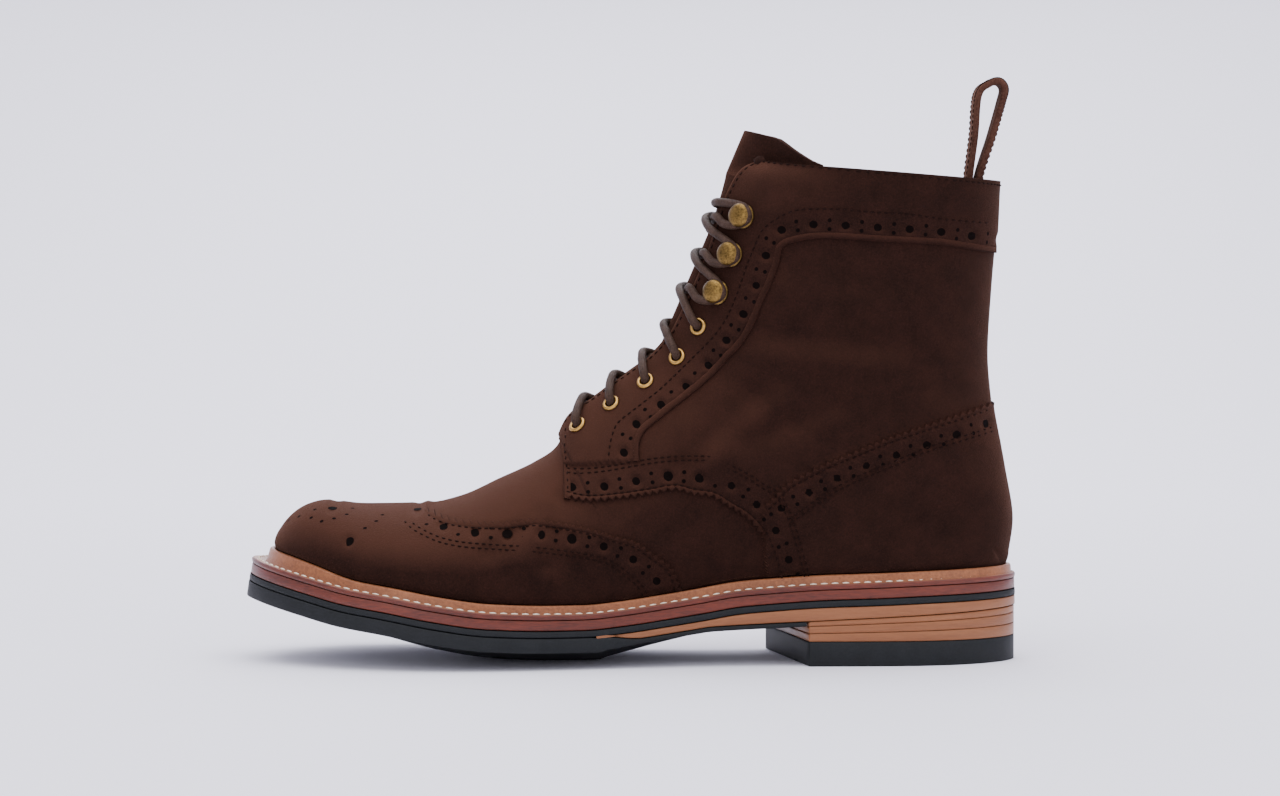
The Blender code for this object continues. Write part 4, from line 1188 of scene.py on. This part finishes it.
def stitch_row(laid, length, radius):
    """Small rounded stitches laid end to end along a line, each on the surface's own normal."""
    form = bmesh.new()
    for (a, up), (b, _) in zip(laid, laid[1:]):
        ahead = b - a
        if ahead.length < 0.3 or ahead.length > 3 * length:
            continue
        ahead.normalize()
        aside = up.cross(ahead).normalized()
        lifted = ahead.cross(aside)
        place = a.lerp(b, 0.5)
        made = bmesh.ops.create_icosphere(form, subdivisions=1, radius=1.0)
        for vert in made["verts"]:
            x, y, z = vert.co
            vert.co = place + ahead * x * length / 2 + aside * y * radius + lifted * z * radius
    return form


def stitches_on(side, points, lift_extra=0.0, pitch=STITCH_PITCH):
    spaced = respace(points, pitch)
    laid = []
    for p in spaced:
        spot = seat(side, p.x, p.y)
        if spot:
            laid.append((spot[0] + spot[1] * (lift_at(side, p.x, p.y) + 0.12 + lift_extra), spot[1]))
    return stitch_row(laid, STITCH_LENGTH, STITCH_RADIUS)


QUARTER_FRONT = table("along height", (0.601, 0.251), (0.601, 0.300), (0.601, 0.350), (0.601, 0.420))

EDGES = (
    (QUARTER_FRONT, QUARTER_RAISE, -1, False, ()),
    (WING_EDGE, WING_RAISE, -1, True, (3,)),
    (QUARTER_EDGE, QUARTER_RAISE, 1, True, ()),
    (COUNTER_EDGE, COUNTER_RAISE, -1, True, ()),
    (BAND_INNER, EYESTAY_RAISE, 1, False, ()),
)
STITCH_LINES = (
    (WING_EDGE, -1, EDGE_STITCH + TOOTH, (3,)), (WING_INNER, 1, 0.0, ()), (WING_INNER, -1, 1.6, ()),
    (QUARTER_EDGE, 1, EDGE_STITCH + TOOTH, ()), (QUARTER_INNER, 1, 0.0, ()), (QUARTER_INNER, 1, 1.6, ()),
    (COUNTER_EDGE, -1, EDGE_STITCH + TOOTH, ()), (COUNTER_INNER, 1, 0.0, ()),
    (COUNTER_INNER, 1, 1.6, ()), (BAND_INNER, 1, EDGE_STITCH, ()), (BAND_OUTER, 1, 0.0, ()),
    (QUARTER_FRONT, -1, 1.6, ()),
)


def rim_stitches(side):
    """Stitches just under the collar's top edge and just behind the facing's."""
    threads = bmesh.new()
    rows = grid_rows()
    first = bisect_left(rows, THROAT_ROW + 0.3)
    count = len(rows)
    runs = ([(count - 3, c) for c in range(3, GRID_COLUMNS)], [(r, 2) for r in range(first, count - 3)])
    for run in runs:
        laid = []
        for r, c in run:
            normal = Vector(NORMALS[side][r, c])
            place = Vector(GRIDS[side][r, c]) + normal * (RELIEF[side][r, c] + 0.12)
            if not laid or (place - laid[-1][0]).length >= STITCH_PITCH:
                laid.append((place, normal))
        add_form(threads, stitch_row(laid, STITCH_LENGTH, STITCH_RADIUS))
    return threads


def make_trim():
    for side, word in SIDES:
        strips = bmesh.new()
        for line, rise, turn_side, teeth, sharp in EDGES:
            add_form(strips, edge_strip(side, line, rise, turn_side, teeth, sharp))
        made = write("panel_edges_" + word, strips, "suede")
        made.data.materials.append(FINISH["edge"])
        threads = bmesh.new()
        for line, turn_side, inset, sharp in STITCH_LINES:
            points = shifted(smooth_line(line, 1.0, sharp), turn_side * inset)
            add_form(threads, stitches_on(side, points))
        add_form(threads, rim_stitches(side))
        write("stitching_" + word, threads, "thread")
        punched = bmesh.new()
        for point, radius in HOLES:
            spot = seat(side, point.x, point.y)
            if not spot:
                continue
            hit, normal = spot
            # Each hole is a near-black disc: the layer beneath, darkened with painted shade for the hole's depth
            sunk = -0.45 if radius == LARGE_HOLE else 0.05
            place = hit + normal * (lift_at(side, point.x, point.y) + sunk)
            turn_to = normal.to_track_quat("Z", "Y")
            made = bmesh.ops.create_circle(punched, cap_ends=True, segments=14, radius=radius * 0.92)
            for vert in made["verts"]:
                vert.co = turn_to @ vert.co + place
        write("punched_hole_shade_discs_" + word, punched, "hole_shade")


# Sole, welt and insole, smoother than the solids they stand for

SOLE_ROWS = 150
SOLE_COLUMNS = 24
ROUND = 0.5


def sole_layer(name, lower, upper, start, end, inset, finish_name, slot):
    """One layer with a slightly rounded edge."""
    rows = [i / SOLE_ROWS for i in range(SOLE_ROWS + 1)]
    rows = [t for t in rows if max(start) + 0.004 < t < min(end) - 0.004]
    shares = [-1 + 2 * n / SOLE_COLUMNS for n in range(SOLE_COLUMNS + 1)]
    rings = []
    for low_t, high_t in [start] + [(t, t) for t in rows] + [end]:
        wide = row_across(low_t, high_t, inset, shares)
        high = [upper(p.x, p.y) for p in wide]
        low = [lower(p.x, p.y) for p in wide]
        rings.append(high + [p for p in reversed(low)])
    form = capped(rings)
    sharp = [e for e in form.edges if e.calc_face_angle(0.0) > math.radians(50)]
    bmesh.ops.bevel(form, geom=sharp, offset=ROUND, segments=2, profile=0.5, affect="EDGES", material=-1,
                    offset_type="OFFSET")
    return write(name + "_finish", form, finish_name, (name,))


def make_sole():
    back, toe = (0.0, 0.0), (1.0, 1.0)
    sole_layer("outsole", outsole_low, outsole_high, breast(BREAST_GAP), toe, 0.0, "rubber", "rubber")
    sole_layer("runner", bed_layer(0.0), bed_layer(RUNNER - GAP), back, toe, 0.1, "rubber", "rubber")
    sole_layer("midsole", bed_layer(RUNNER), bed_layer(RUNNER + MIDSOLE - GAP), back, toe, 0.3, "midsole",
               "red_leather")
    front = (turn(WEDGE_START), turn(WEDGE_START))
    sole_layer("wedge", wedge_low, bed_layer(-GAP), back, front, 0.2, "stack", "tan_leather")
    low = 0.0
    for name, thick in zip(("top_piece", "lift_3", "lift_2", "lift_1"), (TOP_PIECE, *LIFTS)):
        lower = heel_level(low + GAP / 3) if low else heel_level(0.0)
        kind = ("rubber", "rubber") if name == "top_piece" else ("stack", "tan_leather")
        sole_layer(name, lower, heel_level(low + thick), back, breast(), HEEL_INSET - 0.3, *kind)
        low += thick


def welt_section(t):
    """The welt's section as insets from the sole's edge and heights over the midsole."""
    foot = feather_inset(t)
    lip_in = foot - LIP_PLAY
    lip_out = lip_in - LIP_THICKNESS
    seat_height = WELT + welt_rise(t)
    lip = LIP_HEIGHT + welt_rise(t)
    arc = []
    for n in range(7):
        angle = math.pi * n / 6
        across = (lip_in + lip_out) / 2 + math.cos(angle) * LIP_THICKNESS / 2
        arc.append((across, lip - 0.9 + math.sin(angle) * 0.9))
    flat = [(lip_out - 0.1, WELT + 0.3), (lip_out - 0.5, WELT - 0.45), (lip_out - 1.0, WELT - 0.5)]
    flat += [(lip_out * 0.6, WELT - 0.15), (1.0, WELT - 0.1), (0.35, WELT - 0.3), (0.0, WELT - 0.9)]
    flat = [(max(0.0, inset), height) for inset, height in flat]
    return ([(foot + WALL, 0.0), (foot + WALL, seat_height - WELT_SEAT), (lip_in, seat_height - WELT_SEAT)]
            + arc + flat + [(0.1, 0.4), (0.3, 0.0)])


def make_welt():
    base = RUNNER + MIDSOLE
    count = 130
    stops = [(-1, i / count) for i in range(count + 1)] + [(1, i / count) for i in range(count - 1, 0, -1)]
    rings = []
    for side, t in stops:
        ring = []
        for inset, height in welt_section(t):
            point = edge(side, t, inset)
            ring.append(on_bed(point.x, point.y, base + height))
        rings.append(ring + [ring[0]])
    form = patch(rings + [rings[0]], closed=True)
    segments = len(rings[0]) - 1
    for face in form.faces:
        face.material_index = 1 if face.index % segments >= segments - 4 else 0
    made = write("welt_finish", outward(form), "welt", ("welt",))
    made.data.materials.append(FINISH["midsole"])
    walked = []
    for side, t in stops + stops[:1]:
        point = edge(side, t, 1.7)
        walked.append(on_bed(point.x, point.y, base + WELT - 0.06))
    spaced = respace(walked, 4.2)
    laid = [(p, Vector((0, 0, 1))) for p in spaced]
    write("welt_stitches", stitch_row(laid, 3.2, 0.42), "white_thread")


def make_insole():
    base = RUNNER + MIDSOLE
    shares = [-1 + n / 6 for n in range(13)]
    rings = []
    for i in range(61):
        wide = row_across(i / 60, i / 60, feather_inset(i / 60) + WALL + INSOLE_PLAY, shares)
        high = [on_bed(p.x, p.y, base + INSOLE) for p in wide]
        low = [on_bed(p.x, p.y, base + INSOLE_SEAT) for p in reversed(wide)]
        rings.append(high + low)
    write("insole_finish", capped(rings), "insole", ("insole",))


# Tongue and pull loop

TONGUE_DROP = 1.2
TONGUE_BULGE = 3.0
TONGUE_FREE = COLLAR_ROW - 3.0
TONGUE_SLOPE = 0.426
TONGUE_TIP_X = -67.7
TONGUE_TIP_Z = 210.4


def make_tongue():
    columns = 16
    steps = 90
    lines = []
    for n in range(-columns, columns + 1):
        side = -1 if n < 0 else 1
        spread = abs(n) / columns
        end = TONGUE_ROW - 0.95 * spread ** 2
        line = []
        for i in range(steps + 1):
            row = TONGUE_START + (end - TONGUE_START) * i / steps
            half = TONGUE_LOW + (TONGUE_TOP - TONGUE_LOW) * i / steps
            point = across_skin(side, row, half * spread)
            ridge = across_skin(side, row, 0.0)
            lean = max(0.0, ridge.x - TONGUE_TIP_X - TONGUE_SLOPE * (ridge.z - TONGUE_TIP_Z))
            lean += TONGUE_BULGE * min(1.0, max(0.0, (row - TONGUE_FREE) / 2.0))
            point.x -= (1.5 + lean) * max(0.0, 1 - (half * spread / 17) ** 2)
            line.append(point)
        lines.append(line)
    form = patch(lines)
    bmesh.ops.recalc_face_normals(form, faces=form.faces)
    form.faces.ensure_lookup_table()
    if form.faces[len(form.faces) // 2].normal.z < 0:
        bmesh.ops.reverse_faces(form, faces=form.faces)
    form.normal_update()
    for vert in form.verts:
        vert.tag = True
    moves = {vert: vert.normal.copy() for vert in form.verts}
    for vert, normal in moves.items():
        vert.co -= normal * (WALL + TONGUE_PLAY + TONGUE_DROP)
    made = write("tongue_finish", form, "suede", ("tongue",))
    made.data.materials.append(FINISH["lining"])
    solid = made.modifiers.new("wall", "SOLIDIFY")
    solid.thickness = TONGUE * MM
    solid.offset = -1
    solid.material_offset = 1
    soft = made.modifiers.new("edge", "BEVEL")
    soft.width = 0.5 * MM
    soft.segments = 2
    soft.limit_method = "ANGLE"


def loop_route():
    _, back, _, _ = section(1, COLLAR_ROW)
    inner_x = back.x - WALL - LOOP_INSET
    half = LOOP_THICKNESS / 2
    route = (
        (-half, -LOOP_ROOT), (-half, 0.0), (0.8, 0.45 * LOOP_HEIGHT), (4.6, 0.80 * LOOP_HEIGHT),
        (5.6, 0.93 * LOOP_HEIGHT), (3.4, LOOP_HEIGHT), (-0.4, 0.975 * LOOP_HEIGHT),
        (-4.6, 0.86 * LOOP_HEIGHT), (-6.0, 0.45 * LOOP_HEIGHT), (-half - LOOP_THICKNESS - 1.0, 0.0),
        (-half - LOOP_THICKNESS - 0.8, -LOOP_ROOT),
    )
    knots = [Vector((inner_x + x + 3.2 * min(1.0, max(0.0, z / 14)), 0, back.z + z)) for x, z in route]
    return smooth_route(knots, 8)


def make_pull_loop():
    """A folded strap with rounded edges and a row of stitches along each side."""
    route = loop_route()
    rings = []
    rows = {1: [], -1: []}
    last = len(route) - 1
    for i, point in enumerate(route):
        ahead = route[min(last, i + 1)] - route[max(0, i - 1)]
        out = Vector((ahead.z, 0, -ahead.x)).normalized()
        ring = []
        for n in range(20):
            angle = 2 * math.pi * n / 20
            across = LOOP_WIDTH / 2 * (abs(math.cos(angle)) ** 0.18) * (1 if math.cos(angle) > 0 else -1)
            through = LOOP_THICKNESS / 2 * (abs(math.sin(angle)) ** 0.5) * (1 if math.sin(angle) > 0 else -1)
            ring.append(point + Vector((0, across, 0)) + out * through)
        rings.append(ring)
        for side in rows:
            spot = point + Vector((0, side * (LOOP_WIDTH / 2 - 1.8), 0)) + out * (LOOP_THICKNESS / 2 + 0.02)
            rows[side].append((spot, out))
    write("pull_loop_finish", capped(rings), "loop", ("pull_loop",))
    threads = bmesh.new()
    for side, laid in rows.items():
        add_form(threads, stitch_row(laid, STITCH_LENGTH, STITCH_RADIUS))
    write("pull_loop_stitches", threads, "thread")


# Eyelets, hooks and lace

def turned_piece(whole, profile, place, normal, steps=28):
    """Adds a profile of (radius, height) turned about the fitting's axis."""
    form = bmesh.new()
    verts = [form.verts.new((radius, 0, height)) for radius, height in profile]
    for a, b in zip(verts, verts[1:]):
        form.edges.new((a, b))
    bmesh.ops.spin(form, geom=form.verts[:] + form.edges[:], axis=(0, 0, 1), cent=(0, 0, 0), steps=steps,
                   angle=2 * math.pi, use_merge=True)
    turn_to = normal.to_track_quat("Z", "Y")
    for vert in form.verts:
        vert.co = turn_to @ vert.co + place
    add_form(whole, outward(form))


def make_fittings():
    depth = EYESTAY_RAISE + WALL
    rolled = [(EYELET_BORE, -depth), (EYELET_BORE, 0.1)]
    rolled += [((EYELET_BORE + EYELET_RADIUS) / 2 - math.cos(a) * (EYELET_RADIUS - EYELET_BORE) / 2,
                0.1 + math.sin(a) * 0.85) for a in [math.pi * n / 8 for n in range(1, 8)]]
    rolled += [(EYELET_RADIUS, 0.0), (EYELET_RADIUS - 0.2, -0.35)]
    dome = [(0.02, HOOK_HEIGHT)]
    dome += [(HOOK_RADIUS * math.sin(a), HOOK_HEIGHT - 2.0 + 2.0 * math.cos(a))
             for a in [math.pi / 2 * n / 7 for n in range(1, 8)]]
    dome += [(HOOK_RADIUS - 0.3, HOOK_HEIGHT - 2.35), (HOOK_NECK + 0.5, HOOK_HEIGHT - 1.7),
             (HOOK_NECK, HOOK_HEIGHT - 2.4), (HOOK_NECK, HOOK_BASE + 0.5), (HOOK_NECK + 0.6, HOOK_BASE),
             (HOOK_RADIUS - 0.5, HOOK_BASE - 0.1), (HOOK_RADIUS, 0.3), (HOOK_RADIUS, -0.4)]
    for side, word in SIDES:
        for i, distance in enumerate(levels(), 1):
            form = bmesh.new()
            if i <= EYELETS:
                place, normal = facing_seat(side, distance, EYELET_SETBACK, EYESTAY_RAISE + 0.2)
                turned_piece(form, rolled, place, normal)
                name = f"eyelet_{i}_{word}"
                write(name + "_finish", form, "brass", (name,))
            else:
                place, normal = facing_seat(side, distance, HOOK_SETBACK, EYESTAY_RAISE + 0.3)
                turned_piece(form, dome, place, normal)
                name = f"hook_{i - EYELETS}_{word}"
                write(name + "_finish", form, "old_brass", (name,))


LACE_SIDES = 12
LACE_STEPS = 9


def lace_strand(start_side, high):
    """One end of the lace, from the lowest bar up through every eyelet and round every hook."""
    points = []
    side = start_side
    stops = levels()
    for i, distance in enumerate(stops):
        setback = EYELET_SETBACK if i < EYELETS else HOOK_SETBACK
        place, normal = facing_seat(side, distance, setback, 0.0)
        ahead = (facing_seat(side, distance + 3, setback, 0.0)[0] - place).normalized()
        inward = ahead.cross(normal) * side
        if inward.y * side > 0:
            inward = -inward
        if i < EYELETS:
            under = -(WALL + LACE / 2 + 0.3)
            points.append(place + normal * under + inward * 3.0 - ahead * 1.5)
            points.append(place + normal * (under + 0.6))
            points.append(place + normal * 1.0)
            points.append(place + normal * (EYESTAY_RAISE + 2.6) + inward * 1.8 + ahead * 1.2)
        else:
            neck = HOOK_NECK + LACE / 2 + 0.2
            height = EYESTAY_RAISE + HOOK_BASE + 1.9
            points.append(place + normal * height + inward * 6.0 - ahead * 5.0)
            points.append(place + normal * height - ahead * neck)
            points.append(place + normal * height - inward * neck)
            points.append(place + normal * height + ahead * neck)
        rim, rim_normal = facing_seat(side, distance + 5.5, 0.6, EYESTAY_RAISE + LACE / 2 + 0.1)
        if i < len(stops) - 1:
            points.append(rim)
            lift = 2.4 if (i % 2 == 0) == high else -1.0
            row = facing_row(distance + 8.5)
            top = across_skin(side, row, 0.5)
            points.append(Vector((top.x, 0, top.z)) + middle_normal(row) * lift)
            if i + 1 < EYELETS:
                below = -(WALL + LACE / 2 + 0.2)
                dive, _ = facing_seat(-side, distance + 12.0, 1.0, below)
                points.append(dive)
            else:
                over, _ = facing_seat(-side, distance + 11.0, 1.0, EYESTAY_RAISE + LACE / 2 + 0.2)
                points.append(over)
        else:
            row = facing_row(distance + 0.5)
            top = across_skin(side, row, 1.0)
            end_rim, _ = facing_seat(side, distance + 1.5, 0.6, EYESTAY_RAISE + LACE / 2 + 0.1)
            points.append(end_rim)
            points.append(Vector((top.x, side * 3.0, top.z)) + middle_normal(row) * 0.2)
            points.append(Vector((top.x, -side * 2.0, top.z)) + middle_normal(row) * -3.0)
        side = -side
    return points


def middle_normal(row):
    a = across_skin(1, row + 0.2, 0.5) - across_skin(1, row - 0.2, 0.5)
    return Vector((-a.z, 0, a.x)).normalized()


def make_lace():
    """One cord from top hook to top hook, through the lowest bar under the facings."""
    first = lace_strand(-1, True)
    second = lace_strand(1, False)
    knots = list(reversed(first)) + second
    route = smooth_route(knots, LACE_STEPS)
    rings = []
    out = Vector((0, 0, 1))
    last = len(route) - 1
    for i, point in enumerate(route):
        ahead = (route[min(last, i + 1)] - route[max(0, i - 1)]).normalized()
        aside = ahead.cross(out)
        if aside.length < 0.05:
            aside = ahead.cross(Vector((0, 1, 0)))
        aside.normalize()
        out = aside.cross(ahead).normalized()
        ring = []
        for n in range(LACE_SIDES):
            angle = 2 * math.pi * n / LACE_SIDES
            ring.append(point + (aside * math.cos(angle) + out * math.sin(angle)) * LACE / 2)
        rings.append(ring)
    write("lace_finish", capped(rings), "lace", ("lace",))


# Camera, light and floor

CAMERA_AWAY = 1600.0
CAMERA_HIGH = 172.0
CAMERA_X = -108.6
CAMERA_PITCH = 2.475
CAMERA_LENS = 113.9
FLOOR_COLOUR = "f0eff8"
SWEEP_BACK = 900.0
SWEEP_RADIUS = 900.0


def make_camera():
    lens = bpy.data.cameras.new("camera")
    lens.lens = CAMERA_LENS
    lens.sensor_width = 36.0
    made = bpy.data.objects.new("camera", lens)
    made.location = (CAMERA_X * MM, -CAMERA_AWAY * MM, CAMERA_HIGH * MM)
    made.rotation_euler = (math.radians(90 - CAMERA_PITCH), 0, 0)
    bpy.context.scene.collection.objects.link(made)
    bpy.context.scene.camera = made


def make_light():
    """A large overhead softbox, a front fill and a rim from behind, as in a product studio."""
    lights = (
        ("overhead", (-150, -100, 2000), (0, 0, 0), 2600, 62.0),
        ("front_fill", (-700, -1500, 700), (62, 0, -24), 1100, 6.0),
        ("side_fill", (900, -900, 600), (62, 0, 46), 900, 3.0),
        ("rim", (-100, 1300, 900), (-58, 0, 0), 900, 9.0),
    )
    for name, place, angles, size, power in lights:
        lamp = bpy.data.lights.new(name, "AREA")
        lamp.size = size * MM
        lamp.energy = power
        made = bpy.data.objects.new(name, lamp)
        made.location = [value * MM for value in place]
        made.rotation_euler = [math.radians(value) for value in angles]
        bpy.context.scene.collection.objects.link(made)
    world = bpy.data.worlds.new("studio")
    world.use_nodes = True
    sky = world.node_tree.nodes["Background"]
    sky.inputs["Color"].default_value = linear("dddcea")
    sky.inputs["Strength"].default_value = 1.5
    bpy.context.scene.world = world


def make_floor():
    """A paper sweep: a level floor that curves up behind the boot."""
    profile = [(-4000, 0.0), (SWEEP_BACK, 0.0)]
    for n in range(1, 25):
        angle = math.pi / 2 * n / 24
        profile.append((SWEEP_BACK + SWEEP_RADIUS * math.sin(angle), SWEEP_RADIUS * (1 - math.cos(angle))))
    profile.append((SWEEP_BACK + SWEEP_RADIUS, 4000))
    lines = [[Vector((x, y, z)) for x in (-6000, 6000)] for y, z in profile]
    form = patch(lines)
    bmesh.ops.scale(form, vec=(MM, MM, MM), verts=form.verts)
    mesh = bpy.data.meshes.new("floor")
    form.to_mesh(mesh)
    form.free()
    mesh.shade_smooth()
    made = bpy.data.objects.new("floor", mesh)
    bpy.context.scene.collection.objects.link(made)
    paper = bpy.data.materials.new("studio_paper")
    paper.use_nodes = True
    body = paper.node_tree.nodes["Principled BSDF"]
    body.inputs["Base Color"].default_value = linear(FLOOR_COLOUR)
    body.inputs["Roughness"].default_value = 0.9
    body.inputs["Specular IOR Level"].default_value = 0.0
    mesh.materials.append(paper)


make_upper()
make_trim()
make_sole()
make_welt()
make_insole()
make_tongue()
make_pull_loop()
make_fittings()
make_lace()
make_camera()
make_light()
make_floor()
